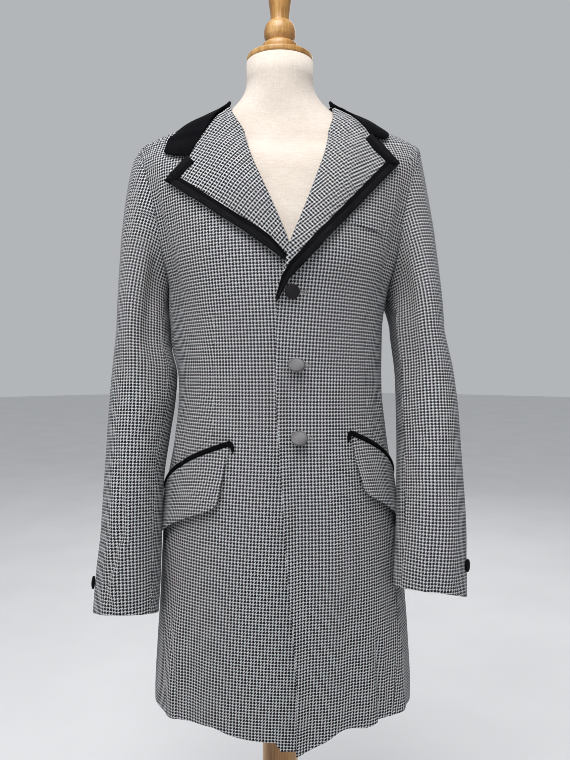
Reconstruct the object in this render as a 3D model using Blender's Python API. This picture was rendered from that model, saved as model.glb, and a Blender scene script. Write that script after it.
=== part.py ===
"""Houndstooth tuxedo jacket buttoned on a limbless dress form with a turned wooden stand.

Metres, +Z up. The origin is the centre of the base's underside, on the floor. The jacket faces -Y, so +X is
the wearer's left. Every piece of cloth is a thin wall worked out from rings round the body or the sleeve.
"""

import math

import bpy
import numpy as np
from mathutils import Matrix, Vector

# Cloth
CLOTH = 0.0018
VELVET = 0.0020
BRAID_THICK = 0.0012
SEAM_TURN = 0.0016  # half a seam's gap, in radians round the body
SEAM_GAP = 0.0003
SHARP_ANGLE = math.radians(50)

# Heights
HEM_Z, HEM_SETTLES_Z = 0.560, 0.700
ARMHOLE_Z, ARMHOLE_HALF_HEIGHT = 1.2643, 0.1042
ARMHOLE_Y, ARMHOLE_FRONT, ARMHOLE_BACK = 0.012, 0.060, 0.064
NECK_SEAM_Z, NECK_SEAM_GAP = 1.430, 0.0006

# Armhole angles: 0 at the shoulder point, 90 at the front, 180 under the arm
ARMHOLE_STEPS = 12
SIDE_SEAM_STEP = 10
SKIRT_ROWS = (HEM_Z, 0.600, 0.650, 0.705, 0.765, 0.825, 0.885, 0.945, 1.005, 1.065, 1.120)
SHOULDER_ROWS = (1.380, 1.392, 1.403, 1.416, NECK_SEAM_Z - NECK_SEAM_GAP)
FRONT_COLUMNS, BACK_COLUMNS = 9, 7

# Applied pieces
LAPEL_LIFT, LAPEL_ROLL, LAPEL_ROLL_REACH = 0.0050, 0.0045, 0.060
LAPEL_ROLL_GROWS = (1.16, 1.26)  # heights between which the lapel's roll comes up
LAPEL_ROWS, LAPEL_COLUMNS = 11, 8
BRAID_WIDTH, BRAID_CLEAR = 0.014, 0.0009
BRAID_FOOT_SHARE, BRAID_GROWS_STEPS = 0.35, 4  # width at the foot, and steps until it is full
BRAID_STOPS = 0.985  # share of the way from the tip to the notch
BRAID_STEPS, BRAID_INSET, MITRE_LIMIT = 15, 0.04, 0.4
FLAP_LIFT, FLAP_ROWS, FLAP_COLUMNS = 0.0029, 5, 8
OVERLAP = 0.040
OVERLAP_LIFT, OVERLAP_FLAT, OVERLAP_REACH = 0.0030, 0.044, 0.130
OVERLAP_FADES = (1.34, 1.24)  # heights between which the left front settles down to the chest
CROSSING_LIFT, CROSSING_Z, CROSSING_REACH = 0.0080, 1.200, 0.036

# Buttons
BUTTON_R, BUTTON_THICK = 0.0100, 0.0048
CUFF_BUTTON_R, CUFF_BUTTON_THICK = 0.0085, 0.0046
BUTTON_COLUMNS = ("x", "z", "off")  # off is the gap behind the button
BUTTONS = [(0.0162, 1.1550, 0.0010), (0.0213, 1.0620, 0.0008), (0.0246, 0.9685, 0.0006)]

# Dress form and stand
FORM_GAP, FORM_SHOULDER_GAP, FORM_NECK_GAP = 0.0090, 0.0012, 0.0030
FORM_LETS_GO, FORM_NARROWS = (1.365, 1.30), (1.385, 1.410)  # heights between which the gap changes
FORM_BOTTOM_Z, FORM_NECK_Z = 0.700, 1.4955
NECK_R, NECK_Y = 0.0485, 0.014
FORM_ROWS = (
    FORM_BOTTOM_Z, 0.76, 0.84, 0.92, 1.00, 1.08, 1.16, 1.22, 1.27,
    1.31, 1.335, 1.352, 1.3685, 1.380, 1.392, 1.403, 1.416,
)
FORM_STEPS = 48
SHOULDER_END = dict(
    round_off=0.035, sharpness=6, half_widths=(0.150, 0.200), grows=(1.14, 1.20), fades=(1.392, 1.365)
)
# Height of each ring up the neck, and how much wider than the neck it is
NECK_RINGS = ((1.436, 0.006), (1.460, 0.002), (1.485, 0.0), (FORM_NECK_Z, 0.0))
POST_R, POST_FLARE, POST_FLARE_HEIGHT = 0.0265, 1.35, 0.020
BASE_R, BASE_THICK = 0.225, 0.030


class Profile:
    """Smooth curves through a table's columns, read at a place in its first column, with no overshoot."""

    def __init__(self, columns, rows):
        self.columns = columns[1:]
        data = np.array(rows, float)
        self.places, self.values = data[:, 0], data[:, 1:]
        steps = np.diff(self.values, axis=0) / np.diff(self.places)[:, None]
        before, after = steps[:-1], steps[1:]
        same_way = before * after > 0
        total = np.where(same_way, before + after, 1.0)
        inner = np.where(same_way, 2 * before * after / total, 0.0)
        self.slopes = np.concatenate([steps[:1], inner, steps[-1:]])

    def __call__(self, place):
        place = np.asarray(place, float)
        i = np.clip(np.searchsorted(self.places, place) - 1, 0, len(self.places) - 2)
        gap = self.places[i + 1] - self.places[i]
        f = np.clip((place - self.places[i]) / gap, 0.0, 1.0)[..., None]
        gap = gap[..., None]
        made = (1 + 2 * f) * (1 - f) ** 2 * self.values[i] + f * f * (3 - 2 * f) * self.values[i + 1]
        made = made + gap * f * (1 - f) ** 2 * self.slopes[i] + gap * f * f * (f - 1) * self.slopes[i + 1]
        return [made[..., k] for k in range(made.shape[-1])]

    def one(self, column, place):
        return self(place)[self.columns.index(column)]


# Rings round the body: outside of the cloth with the sleeves left off
BODY = Profile(
    ("z", "half_width", "front", "back", "centre_y"),
    [
        (0.530, 0.1870, 0.1200, 0.1250, 0.000),
        (0.580, 0.1890, 0.1255, 0.1250, 0.000),
        (0.655, 0.1850, 0.1310, 0.1250, 0.000),
        (0.720, 0.1800, 0.1345, 0.1230, 0.000),
        (0.800, 0.1740, 0.1375, 0.1190, 0.000),
        (0.875, 0.1665, 0.1370, 0.1125, 0.000),
        (0.911, 0.1620, 0.1350, 0.1075, 0.000),
        (0.963, 0.1540, 0.1320, 0.0990, 0.000),
        (1.038, 0.1467, 0.1290, 0.0910, 0.000),
        (1.105, 0.1470, 0.1300, 0.0940, 0.000),
        (1.160, 0.1540, 0.1320, 0.1030, 0.001),
        (1.206, 0.1680, 0.1310, 0.1090, 0.002),
        (1.240, 0.1785, 0.1265, 0.1120, 0.004),
        (1.285, 0.1920, 0.1165, 0.1110, 0.006),
        (1.325, 0.2010, 0.1010, 0.1050, 0.008),
        (1.347, 0.2060, 0.0870, 0.0970, 0.010),
        (1.3685, 0.2030, 0.0680, 0.0840, 0.012),
        (1.380, 0.1855, 0.0630, 0.0760, 0.012),
        (1.392, 0.1580, 0.0600, 0.0700, 0.013),
        (1.403, 0.1270, 0.0580, 0.0650, 0.015),
        (1.416, 0.0965, 0.0580, 0.0610, 0.017),
        (1.430, 0.0775, 0.0590, 0.0580, 0.018),
        (1.443, 0.0690, 0.0600, 0.0560, 0.018),
        (1.470, 0.0645, 0.0600, 0.0530, 0.018),
        (1.500, 0.0645, 0.0600, 0.0530, 0.018),
    ],
)
FRONT_POWER, BACK_POWER = 2.25, 2.15

# Free edges of the fronts: the wearer's left lies over the right, and both open into roll lines at the top
LEFT_EDGE = Profile(
    ("z", "x"),
    [
        (0.550, 0.0212),
        (0.628, 0.0222),
        (0.710, 0.0177),
        (0.800, 0.0102),
        (0.917, 0.0029),
        (1.036, -0.0041),
        (1.094, -0.0043),
        (1.140, -0.0028),
        (1.181, 0.0073),
        (1.214, 0.0149),
        (1.250, 0.0284),
        (1.300, 0.0467),
        (1.378, 0.0705),
        (1.410, 0.0745),
        (1.440, 0.0745),
    ],
)
RIGHT_ROLL = Profile(
    ("z", "x"),
    [
        (1.140, 0.0372),
        (1.212, 0.0136),
        (1.274, -0.0114),
        (1.329, -0.0351),
        (1.377, -0.0525),
        (1.410, -0.0660),
        (1.440, -0.0740),
    ],
)

ROLL_LINES = {"left": LEFT_EDGE, "right": RIGHT_ROLL}

# How far the hem hangs below its level, by degrees round each side from the centre front
HEM_DIP_COLUMNS = ("turn", "dip")
HEM_DIP = {
    "left": Profile(
        HEM_DIP_COLUMNS,
        [
            (0, 0.0105), (5, 0.0105), (15, -0.0005), (25, -0.0145), (36, -0.0100),
            (46, -0.0130), (65, -0.0130), (90, -0.0040), (130, 0.0000), (180, 0.0000),
        ],
    ),
    "right": Profile(
        HEM_DIP_COLUMNS,
        [
            (0, -0.0020), (5, -0.0030), (17, -0.0090), (27, -0.0180), (48, -0.0160),
            (62, -0.0180), (78, -0.0125), (92, 0.0000), (130, 0.0000), (180, 0.0000),
        ],
    ),
}

# Seams under the arm, in degrees round the body from the centre front
FRONT_SEAM = Profile(
    ("z", "turn"), [(0.560, 54.0), (0.700, 61.0), (0.850, 68.0), (1.037, 75.5), (1.174, 80.2)]
)
BACK_SEAM = Profile(
    ("z", "turn"), [(0.560, 118.0), (0.850, 114.0), (1.037, 112.0), (1.174, 106.3)]
)

# Largest folds: soft ridges (+) and troughs (-) down the body, in degrees round it
FOLD_GROWS, FOLD_FADES = 0.45, 0.60  # shares of a fold's length
FOLD_COLUMNS = ("turn_top", "turn_low", "z_top", "z_low", "width", "height")
BODY_FOLDS = [
    (-46, -52, 0.80, 0.45, 0.016, 0.0060),
    (-36, -40, 0.76, 0.45, 0.022, -0.0050),
    (46, 50, 0.74, 0.45, 0.014, -0.0060),
    (62, 64, 0.78, 0.45, 0.018, 0.0050),
    (24, 31, 0.80, 0.45, 0.026, -0.0050),
    (90, 90, 0.90, 0.45, 0.060, 0.0050),
    (-90, -90, 0.90, 0.45, 0.060, -0.0050),
    (140, 146, 0.84, 0.45, 0.026, 0.0060),
    (-140, -146, 0.84, 0.45, 0.026, 0.0060),
    (-57, -66, 1.35, 1.17, 0.016, -0.0050),
    (57, 66, 1.35, 1.17, 0.016, -0.0050),
]

# Lapel corners seen from the front: x, z. The edge runs from the foot by the low point to the tip.
LAPELS = {
    "left": dict(
        foot=(-0.0012, 1.1440), low=(0.0122, 1.1692), tip=(0.1596, 1.3310),
        notch=(0.1223, 1.3655), gorge=(0.0810, 1.4175),
    ),
    "right": dict(
        foot=(0.0190, 1.1860), low=(0.0110, 1.1906), tip=(-0.1510, 1.3057),
        notch=(-0.1205, 1.3368), gorge=(-0.0758, 1.4175),
    ),
}
LAPEL_LOW_SHARE = 0.10
LAPEL_SPLIT = 0.62

# Collar from its front end, at the notch, to the centre back: its outer edge, then its fold.
# Turns are degrees round the body. The first rows' inner edge is the gorge seam, so it isn't listed.
COLLAR_COLUMNS = ("along", "outer_turn", "outer_z", "outer_lift", "inner_turn", "inner_z", "inner_lift")
COLLAR_FRONTS = {
    "left": [(0.00, 47.9, 1.3738, 0.0075), (0.16, 51.5, 1.3825, 0.0085), (0.32, 63.0, 1.3955, 0.0085)],
    "right": [(0.00, 48.4, 1.3514, 0.0075), (0.16, 47.5, 1.3720, 0.0085), (0.32, 60.0, 1.3940, 0.0085)],
}
COLLAR_BACK = [
    (0.46, 84.0, 1.4030, 0.0080, 64.0, 1.4400, 0.0036),
    (0.64, 112.0, 1.4060, 0.0080, 100.0, 1.4520, 0.0028),
    (0.82, 146.0, 1.4040, 0.0080, 142.0, 1.4590, 0.0028),
    (1.00, 180.0, 1.4030, 0.0080, 180.0, 1.4620, 0.0028),
]
GORGE_GAP, GORGE_LIFT = 0.0010, 0.0060
COLLAR_ROWS, COLLAR_COLUMN_COUNT = 14, 4
STAND_FROM, STAND_CLEAR, STAND_ROWS = 0.46, 0.0010, 11

# Pocket flaps: corners in degrees round the body and height; the piping runs along the top edge
FLAPS = {
    "left": dict(
        front_top=(34.3, 0.9695), front_low=(37.5, 0.895),
        back_top=(91.0, 0.891), back_low=(90.0, 0.803),
    ),
    "right": dict(
        front_top=(-21.7, 0.9575), front_low=(-25.0, 0.878),
        back_top=(-84.0, 0.8785), back_low=(-84.0, 0.799),
    ),
}
FLAP_ARCH = 0.007
PIPING_WIDTH, PIPING_THICK, PIPING_CLEAR = 0.0075, 0.0032, 0.0009
PIPING_ROUND = (0.8, 1.0, 0.6)  # thickness from its lower edge to its upper one
BREAST_WELT = dict(
    x_from=0.080, x_to=0.139, z=1.2455, height=0.0230, slant=-0.20, thick=0.0013, off=0.0022, columns=9
)

# Sleeves: rings down the arm below the armhole
SLEEVE_COLUMNS = ("z", "inner_x", "outer_x", "centre_y", "half_depth", "tilt", "lean")
SLEEVES = {
    "left": [
        (0.7545, 0.1530, 0.2530, -0.0930, 0.0470, 19.0, 8.0),
        (0.795, 0.1558, 0.2530, -0.0880, 0.0500, 14.0, 6.0),
        (0.845, 0.1592, 0.2540, -0.0790, 0.0530, 12.0, 3.0),
        (0.900, 0.1622, 0.2534, -0.0640, 0.0575, 13.0, 1.0),
        (0.965, 0.1650, 0.2515, -0.0460, 0.0615, 14.0, 0.0),
        (1.040, 0.1660, 0.2470, -0.0260, 0.0655, 12.0, 0.0),
        (1.105, 0.1605, 0.2360, -0.0110, 0.0695, 9.0, 0.0),
    ],
    "right": [
        (0.7245, 0.1655, 0.2538, -0.0880, 0.0470, 17.0, 0.0),
        (0.780, 0.1630, 0.2499, -0.0820, 0.0500, 13.0, 0.0),
        (0.835, 0.1625, 0.2448, -0.0740, 0.0530, 12.0, 0.0),
        (0.900, 0.1622, 0.2433, -0.0590, 0.0575, 13.0, 0.0),
        (0.965, 0.1555, 0.2415, -0.0430, 0.0615, 14.0, 0.0),
        (1.040, 0.1505, 0.2390, -0.0240, 0.0655, 12.0, 0.0),
        (1.105, 0.1560, 0.2345, -0.0100, 0.0695, 9.0, 0.0),
    ],
}
CAP_OUT = dict(left=0.02, right=0.24)  # how far the sleeve head stands out, as a share of its fall
UNDERARM_OUT = 0.22
LEAVES_DOWN = dict(top=-0.1, under=-0.9)  # how steeply the sleeve leaves the armhole
ARM_FALL = (0.0, -0.12, -1.0)
SLEEVE_CAP_ROWS, SLEEVE_ARM_ROWS = 7, 10
HEAD_REACH, HEAD_ANGLES = 0.35, (-0.4, 0.3)  # where the sleeve head still follows the body
TOP_SLEEVE_STEPS, UNDER_SLEEVE_STEPS = (-7, 10), (10, 17)
CUFF_BUTTON_ANGLE, CUFF_BUTTON_RISE = dict(left=20.0, right=12.0), 0.041
SLEEVE_FOLDS = [
    dict(angle=38, z_top=1.02, z_low=0.62, width=22, height=-0.0040),
    dict(angle=100, z_top=0.96, z_low=0.84, width=24, height=0.0030),
    dict(angle=-80, z_top=1.02, z_low=0.80, width=30, height=-0.0035),
]
SLEEVE_FOLD_GROWS, SLEEVE_FOLD_FADES = 0.10, 0.05

# Finial, turned: radius and height from its foot, through the ball to the handle's rounded top
FINIAL = [
    (0.0190, 0.0000), (0.0195, 0.0050), (0.0175, 0.0085), (0.0205, 0.0150),
    (0.0228, 0.0230), (0.0231, 0.0300), (0.0215, 0.0385), (0.0180, 0.0440),
    (0.0138, 0.0468), (0.0137, 0.0520), (0.0150, 0.0640), (0.0168, 0.0800),
    (0.0180, 0.0960), (0.0172, 0.1080), (0.0135, 0.1160), (0.0070, 0.1200),
]
NECK_PLATE = [(0.0445, 0.0), (0.0480, 0.002), (0.0480, 0.007), (0.0440, 0.010), (0.0250, 0.0105)]
BASE = [
    (BASE_R - 0.004, 0.0), (BASE_R, 0.004), (BASE_R, 0.018),
    (BASE_R - 0.010, BASE_THICK - 0.003), (BASE_R - 0.022, BASE_THICK),
]

# Materials: base colour, roughness
FINISHES = {
    "houndstooth": ((0.42, 0.42, 0.43), 0.85),
    "velvet": ((0.012, 0.012, 0.014), 0.95),
    "braid": ((0.030, 0.030, 0.034), 0.70),
    "button_cloth": ((0.085, 0.078, 0.082), 0.50),
    "form_cloth": ((0.78, 0.72, 0.64), 0.90),
    "wood": ((0.62, 0.38, 0.16), 0.45),
}


def smoothstep(low, high, value):
    f = np.clip((np.asarray(value, float) - low) / (high - low), 0.0, 1.0)
    return f * f * (3 - 2 * f)


def material(name):
    made = bpy.data.materials.get(name)
    if made:
        return made
    made = bpy.data.materials.new(name)
    made.use_nodes = True
    colour, roughness = FINISHES[name]
    shader = made.node_tree.nodes["Principled BSDF"]
    shader.inputs["Base Color"].default_value = (*colour, 1.0)
    shader.inputs["Roughness"].default_value = roughness
    shader.inputs["Metallic"].default_value = 0.0
    return made


def add_object(name, points, faces, finish):
    mesh = bpy.data.meshes.new(name)
    mesh.from_pydata([tuple(p) for p in points], [], faces)
    mesh.materials.append(material(finish))
    mesh.shade_smooth()
    mesh.set_sharp_from_angle(angle=SHARP_ANGLE)
    made = bpy.data.objects.new(name, mesh)
    bpy.context.scene.collection.objects.link(made)
    return made


def wall(name, outer, inner, finish):
    """A closed wall between two grids of points of the same shape, rows by columns."""
    rows, columns = outer.shape[:2]
    count = rows * columns
    points = np.concatenate([outer.reshape(-1, 3), inner.reshape(-1, 3)])
    at = np.arange(count).reshape(rows, columns)
    faces = []
    for r in range(rows - 1):
        for c in range(columns - 1):
            quad = [at[r, c], at[r, c + 1], at[r + 1, c + 1], at[r + 1, c]]
            faces.append(quad)
            faces.append([i + count for i in reversed(quad)])
    rim = [*at[0, :], *at[1:, -1], *at[-1, -2::-1], *at[-2:0:-1, 0]]
    for a, b in zip(rim, rim[1:] + rim[:1]):
        faces.append([a, a + count, b + count, b])
    r, c = rows // 2, columns // 2
    across, up = outer[r, c] - outer[r, c - 1], outer[r, c] - outer[r - 1, c]
    if np.dot(np.cross(across, up), outer[r, c] - inner[r, c]) < 0:
        faces = [list(reversed(f)) for f in faces]
    return add_object(name, points, [[int(i) for i in f] for f in faces], finish)


# The body's surface


def body_face(turn, z):
    """The cloth's outside at an angle round the body, in radians from the centre front, and a height."""
    half, front, back, centre = BODY(z)
    s, c = np.sin(turn), np.cos(turn)
    power = np.where(c > 0, FRONT_POWER, BACK_POWER)
    depth = np.where(c > 0, front, back)
    x = half * np.sign(s) * np.abs(s) ** (2 / power)
    y = centre - np.sign(c) * depth * np.abs(c) ** (2 / power)
    return np.stack([x, y, z + 0 * turn], -1)


def unit(v):
    return v / np.maximum(np.linalg.norm(v, axis=-1, keepdims=True), 1e-12)


def body_normal(turn, z):
    d = 2e-3
    round_body = body_face(turn + d, z) - body_face(turn - d, z)
    up_body = body_face(turn, z + d) - body_face(turn, z - d)
    return unit(np.cross(round_body, up_body))


def body_folds(turn, z):
    lift = np.zeros(np.broadcast(turn, z).shape)
    half = BODY.one("half_width", z)
    for row in BODY_FOLDS:
        fold = dict(zip(FOLD_COLUMNS, row))
        f = (fold["z_top"] - z) / (fold["z_top"] - fold["z_low"])
        middle = np.radians(fold["turn_top"] + (fold["turn_low"] - fold["turn_top"]) * np.clip(f, 0, 1))
        across = np.exp(-(((turn - middle) * half / fold["width"]) ** 2))
        ends = smoothstep(0.0, FOLD_GROWS, f)
        if fold["z_low"] > HEM_Z:
            ends = ends * smoothstep(1.0, FOLD_FADES, f)
        lift = lift + fold["height"] * across * ends
    return lift


def hang(turn, z):
    """Heights with the hem's own rise and fall, which fades out up the skirt."""
    degrees = np.degrees(turn)
    dip = np.where(degrees > 0, HEM_DIP["left"].one("dip", degrees), HEM_DIP["right"].one("dip", -degrees))
    return z - dip * smoothstep(HEM_SETTLES_Z, HEM_Z, z)


def body_point(turn, z, lift=0.0):
    """A point moved out from the body's cloth, folds and all."""
    turn, z = np.broadcast_arrays(np.asarray(turn, float), np.asarray(z, float))
    moved = body_folds(turn, z) + lift
    return body_face(turn, z) + body_normal(turn, z) * moved[..., None]


def turn_at(x, z):
    """The angle round the front of the body whose point has this x."""
    half = BODY.one("half_width", z)
    share = np.clip(np.abs(x) / half, 0.0, 1.0)
    return np.sign(x) * np.arcsin(share ** (FRONT_POWER / 2))


# The jacket's body


def armhole_angles():
    return np.radians(np.arange(ARMHOLE_STEPS + 1) * 180.0 / ARMHOLE_STEPS)


def armhole_turn(angle):
    """Where an armhole angle lies round the body. The armhole is an oval in side view."""
    depth = np.where(np.sin(angle) > 0, ARMHOLE_FRONT, ARMHOLE_BACK)
    y = ARMHOLE_Y - depth * np.sin(angle)
    z = ARMHOLE_Z + ARMHOLE_HALF_HEIGHT * np.cos(angle)
    _, front, back, centre = BODY(z)
    ahead = y < centre
    share = np.abs(y - centre) / np.where(ahead, front, back)
    power = np.where(ahead, FRONT_POWER, BACK_POWER)
    turn = np.arccos(np.clip(share, 0, 1) ** (power / 2))
    return np.where(ahead, turn, np.pi - turn), z


def body_rows():
    """Heights shared by every panel: the skirt, the armhole from its side seams up, the shoulder."""
    arm = armhole_angles()[: SIDE_SEAM_STEP + 1][::-1]
    arm_z = ARMHOLE_Z + ARMHOLE_HALF_HEIGHT * np.cos(arm)
    return np.concatenate([SKIRT_ROWS, arm_z, SHOULDER_ROWS]), arm


def side_edge(seam, arm_sign):
    """How far round a panel reaches in each row: its side seam, the armhole, then the shoulder seam."""
    rows, arm = body_rows()
    skirt = np.radians(seam.one("turn", np.array(SKIRT_ROWS)))
    armhole = armhole_turn(arm_sign * arm)[0]
    armhole[-1] = math.pi / 2
    shoulder = np.full(len(SHOULDER_ROWS), math.pi / 2)
    return rows, np.concatenate([skirt, armhole, shoulder])


def panel(name, turns_from, turns_to, rows, columns, lift):
    """A body panel between two edges, as a wall. lift gives how far its outside stands off the body."""
    share = np.linspace(0.0, 1.0, columns)
    turn = turns_from[:, None] + (turns_to - turns_from)[:, None] * share
    z = hang(np.minimum(turn, 0) if turns_to[0] < 0 else turn, np.repeat(rows[:, None], columns, axis=1))
    off = lift(turn, z)
    return wall(name, body_point(turn, z, off), body_point(turn, z, off - CLOTH), "houndstooth")


def no_lift(turn, z):
    return np.zeros(turn.shape)


def left_lift(turn, z):
    """The left front lies over the right one, and more so where it covers the right lapel's foot."""
    x = body_face(turn, z)[..., 0]
    from_edge = x - LEFT_EDGE.one("x", z)
    near = 1 - smoothstep(OVERLAP_FLAT, OVERLAP_REACH, from_edge)
    crossing = np.exp(-(((z - CROSSING_Z) / CROSSING_REACH) ** 2))
    return near * (OVERLAP_LIFT + CROSSING_LIFT * crossing) * smoothstep(*OVERLAP_FADES, z)


def right_edge(z):
    below = LEFT_EDGE.one("x", z) + OVERLAP
    return np.where(z < RIGHT_ROLL.places[0], below, RIGHT_ROLL.one("x", z))


def fronts():
    rows, outer = side_edge(FRONT_SEAM, 1.0)
    left_in = turn_at(LEFT_EDGE.one("x", rows), rows)
    panel("front_left", left_in, outer - SEAM_TURN, rows, FRONT_COLUMNS, left_lift)
    right_in = turn_at(right_edge(rows), rows)
    panel("front_right", right_in, SEAM_TURN - outer, rows, FRONT_COLUMNS, no_lift)


def backs():
    rows, outer = side_edge(BACK_SEAM, -1.0)
    middle = np.full(len(rows), math.pi - SEAM_TURN)
    panel("back_left", outer + SEAM_TURN, middle, rows, BACK_COLUMNS, no_lift)
    panel("back_right", -outer - SEAM_TURN, -middle, rows, BACK_COLUMNS, no_lift)


def sides():
    """Panels under the arms: their top edges follow the armhole's lowest arc."""
    steps = np.arange(SIDE_SEAM_STEP, 2 * ARMHOLE_STEPS - SIDE_SEAM_STEP + 1)
    arc = np.radians(steps * 180.0 / ARMHOLE_STEPS)
    arc = np.where(arc > np.pi, arc - 2 * np.pi, arc)
    top_turn, top_z = armhole_turn(arc)
    top_turn[len(arc) // 2] = math.pi / 2
    corner_z = top_z[0]
    heights = np.array([*SKIRT_ROWS, corner_z])
    rise = ((heights - HEM_Z) / (corner_z - HEM_Z))[:, None]
    z = HEM_Z + rise * (top_z - HEM_Z)[None, :]
    front = np.radians(FRONT_SEAM.one("turn", heights))
    back = np.radians(BACK_SEAM.one("turn", heights))
    front[-1], back[-1] = top_turn[0], top_turn[-1]
    share = (top_turn - top_turn[0]) / (top_turn[-1] - top_turn[0])
    turn = (front + SEAM_TURN)[:, None] + (back - front - 2 * SEAM_TURN)[:, None] * share
    z[-1, 1:-1] -= SEAM_GAP / 2
    for name, sign in (("side_left", 1.0), ("side_right", -1.0)):
        low = hang(sign * turn, z)
        wall(name, body_point(sign * turn, low), body_point(sign * turn, low, -CLOTH), "houndstooth")


# Lapels, braid and collar


def front_lift(side, turn, z):
    return left_lift(turn, z) if side == "left" else np.zeros(np.shape(turn))


def lapel_grid(side, rows, columns):
    """x and z of a lapel on the front, from its foot up and from its roll line out."""
    corner = {k: np.array(v) for k, v in LAPELS[side].items()}
    roll = ROLL_LINES[side]
    up, across = np.linspace(0, 1, rows), np.linspace(0, 1, columns)
    z = np.linspace(corner["foot"][1], corner["gorge"][1], rows)
    inner = np.stack([roll.one("x", z), z], -1)[:, None, :]
    knots = (0.0, LAPEL_LOW_SHARE, 1.0)
    path = np.array([corner["foot"], corner["low"], corner["tip"]])
    outer = np.stack([np.interp(up, knots, path[:, k]) for k in (0, 1)], -1)[:, None, :]
    knots = (0.0, LAPEL_SPLIT, 1.0)
    path = np.array([inner[-1, 0], corner["notch"], corner["tip"]])
    top = np.stack([np.interp(across, knots, path[:, k]) for k in (0, 1)], -1)
    up, across = up[:, None, None], across[None, :, None]
    foot = inner[0] + (corner["foot"] - inner[0]) * across
    corners = (1 - across) * (1 - up) * inner[0] + across * (1 - up) * corner["foot"]
    corners = corners + (1 - across) * up * inner[-1] + across * up * corner["tip"]
    grid = (1 - across) * inner + across * outer + (1 - up) * foot + up * top - corners
    return grid[..., 0], grid[..., 1]


def lapel_lift(side, turn, z):
    """A lapel rolls softly out of its fold, then lies on the front."""
    x = body_face(turn, z)[..., 0]
    away = np.abs(x - ROLL_LINES[side].one("x", z)) / LAPEL_ROLL_REACH
    rolled = LAPEL_ROLL * np.sin(np.pi * np.clip(away, 0, 1)) * smoothstep(*LAPEL_ROLL_GROWS, z)
    return front_lift(side, turn, z) + LAPEL_LIFT + rolled


def lapels():
    for side in LAPELS:
        x, z = lapel_grid(side, LAPEL_ROWS, LAPEL_COLUMNS)
        turn = turn_at(x, z)
        off = lapel_lift(side, turn, z)
        wall(f"lapel_{side}", body_point(turn, z, off), body_point(turn, z, off - CLOTH), "houndstooth")


def braids():
    """Braid along each lapel's outer edge and round its tip to the notch, laid on with a mitred corner."""
    for side, corners in LAPELS.items():
        x, z = lapel_grid(side, BRAID_STEPS, 2)
        edge = np.stack([x[:, -1], z[:, -1]], -1)
        tip, notch = np.array(corners["tip"]), np.array(corners["notch"])
        shares = np.linspace(0, BRAID_STOPS, 4)[1:, None]
        path = np.concatenate([edge, tip + (notch - tip) * shares])
        ahead = unit(np.diff(path, axis=0))
        sign = 1.0 if side == "left" else -1.0
        inward = np.stack([-ahead[:, 1], ahead[:, 0]], -1) * sign
        before = np.concatenate([inward[:1], inward])
        after = np.concatenate([inward, inward[-1:]])
        mitre = before + after
        mitre = mitre / np.maximum((mitre * before).sum(-1, keepdims=True), MITRE_LIMIT)
        width = BRAID_WIDTH * np.minimum(1.0, BRAID_FOOT_SHARE + np.arange(len(path)) / BRAID_GROWS_STEPS)
        shares = np.linspace(BRAID_INSET, 1.0, 3)
        strip = path[:, None, :] + mitre[:, None, :] * (width[:, None] * shares)[..., None]
        turn, z = turn_at(strip[..., 0], strip[..., 1]), strip[..., 1]
        off = lapel_lift(side, turn, z) + BRAID_CLEAR
        wall(f"braid_{side}", body_point(turn, z, off + BRAID_THICK), body_point(turn, z, off), "braid")


def collar_guide(side):
    """The collar's table, with the gorge seam along the lapel's top edge as its first inner edge."""
    notch, gorge = np.array(LAPELS[side]["notch"]), np.array(LAPELS[side]["gorge"])
    rows = []
    for along, turn, z, lift in COLLAR_FRONTS[side]:
        x, seam_z = notch + (gorge - notch) * along / COLLAR_FRONTS[side][-1][0]
        seam_turn = abs(math.degrees(turn_at(abs(x) + GORGE_GAP, seam_z + GORGE_GAP)))
        rows.append((along, turn, z, lift, seam_turn, seam_z + GORGE_GAP, GORGE_LIFT))
    return Profile(COLLAR_COLUMNS, rows + COLLAR_BACK)


def collar():
    """The velvet fall, from each notch to the centre back, and the stand inside its fold."""
    halves, stands = {}, {}
    for side in COLLAR_FRONTS:
        sign = 1.0 if side == "left" else -1.0
        guide = collar_guide(side)
        along = np.linspace(0, 1, COLLAR_ROWS)
        o_turn, o_z, o_lift, i_turn, i_z, i_lift = guide(along)
        share = np.linspace(0, 1, COLLAR_COLUMN_COUNT + 1)
        turn = sign * np.radians(o_turn[:, None] + (i_turn - o_turn)[:, None] * share)
        z = o_z[:, None] + (i_z - o_z)[:, None] * share
        lift = o_lift[:, None] + (i_lift - o_lift)[:, None] * share
        halves[side] = [body_point(turn, z, lift), body_point(turn, z, lift - VELVET)]
        along = np.linspace(STAND_FROM, 1, STAND_ROWS)
        _, _, _, i_turn, i_z, _ = guide(along)
        share = np.linspace(0, 1, 3)
        z = NECK_SEAM_Z + (i_z[:, None] - STAND_CLEAR - NECK_SEAM_Z) * share
        turn = sign * np.radians(np.repeat(i_turn[:, None], 3, axis=1))
        stands[side] = [body_point(turn, z, 0.0), body_point(turn, z, -VELVET)]
    for name, parts in (("collar", halves), ("collar_stand", stands)):
        grids = [np.concatenate([parts["left"][k], parts["right"][k][-2::-1]]) for k in (0, 1)]
        wall(name, grids[0], grids[1], "velvet")


# Pockets and buttons


def flap_points(side, rows, columns):
    """Angle and height over a pocket flap, from its top edge down and from the front back."""
    corner = FLAPS[side]
    across, down = np.linspace(0, 1, columns)[None, :], np.linspace(0, 1, rows)[:, None]

    def edge(name):
        front, back = corner["front_" + name], corner["back_" + name]
        arch = FLAP_ARCH * np.sin(np.pi * across)
        return front[0] + (back[0] - front[0]) * across, front[1] + (back[1] - front[1]) * across + arch

    top_turn, top_z = edge("top")
    low_turn, low_z = edge("low")
    turn = np.radians(top_turn + (low_turn - top_turn) * down)
    return turn, top_z + (low_z - top_z) * down


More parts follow.
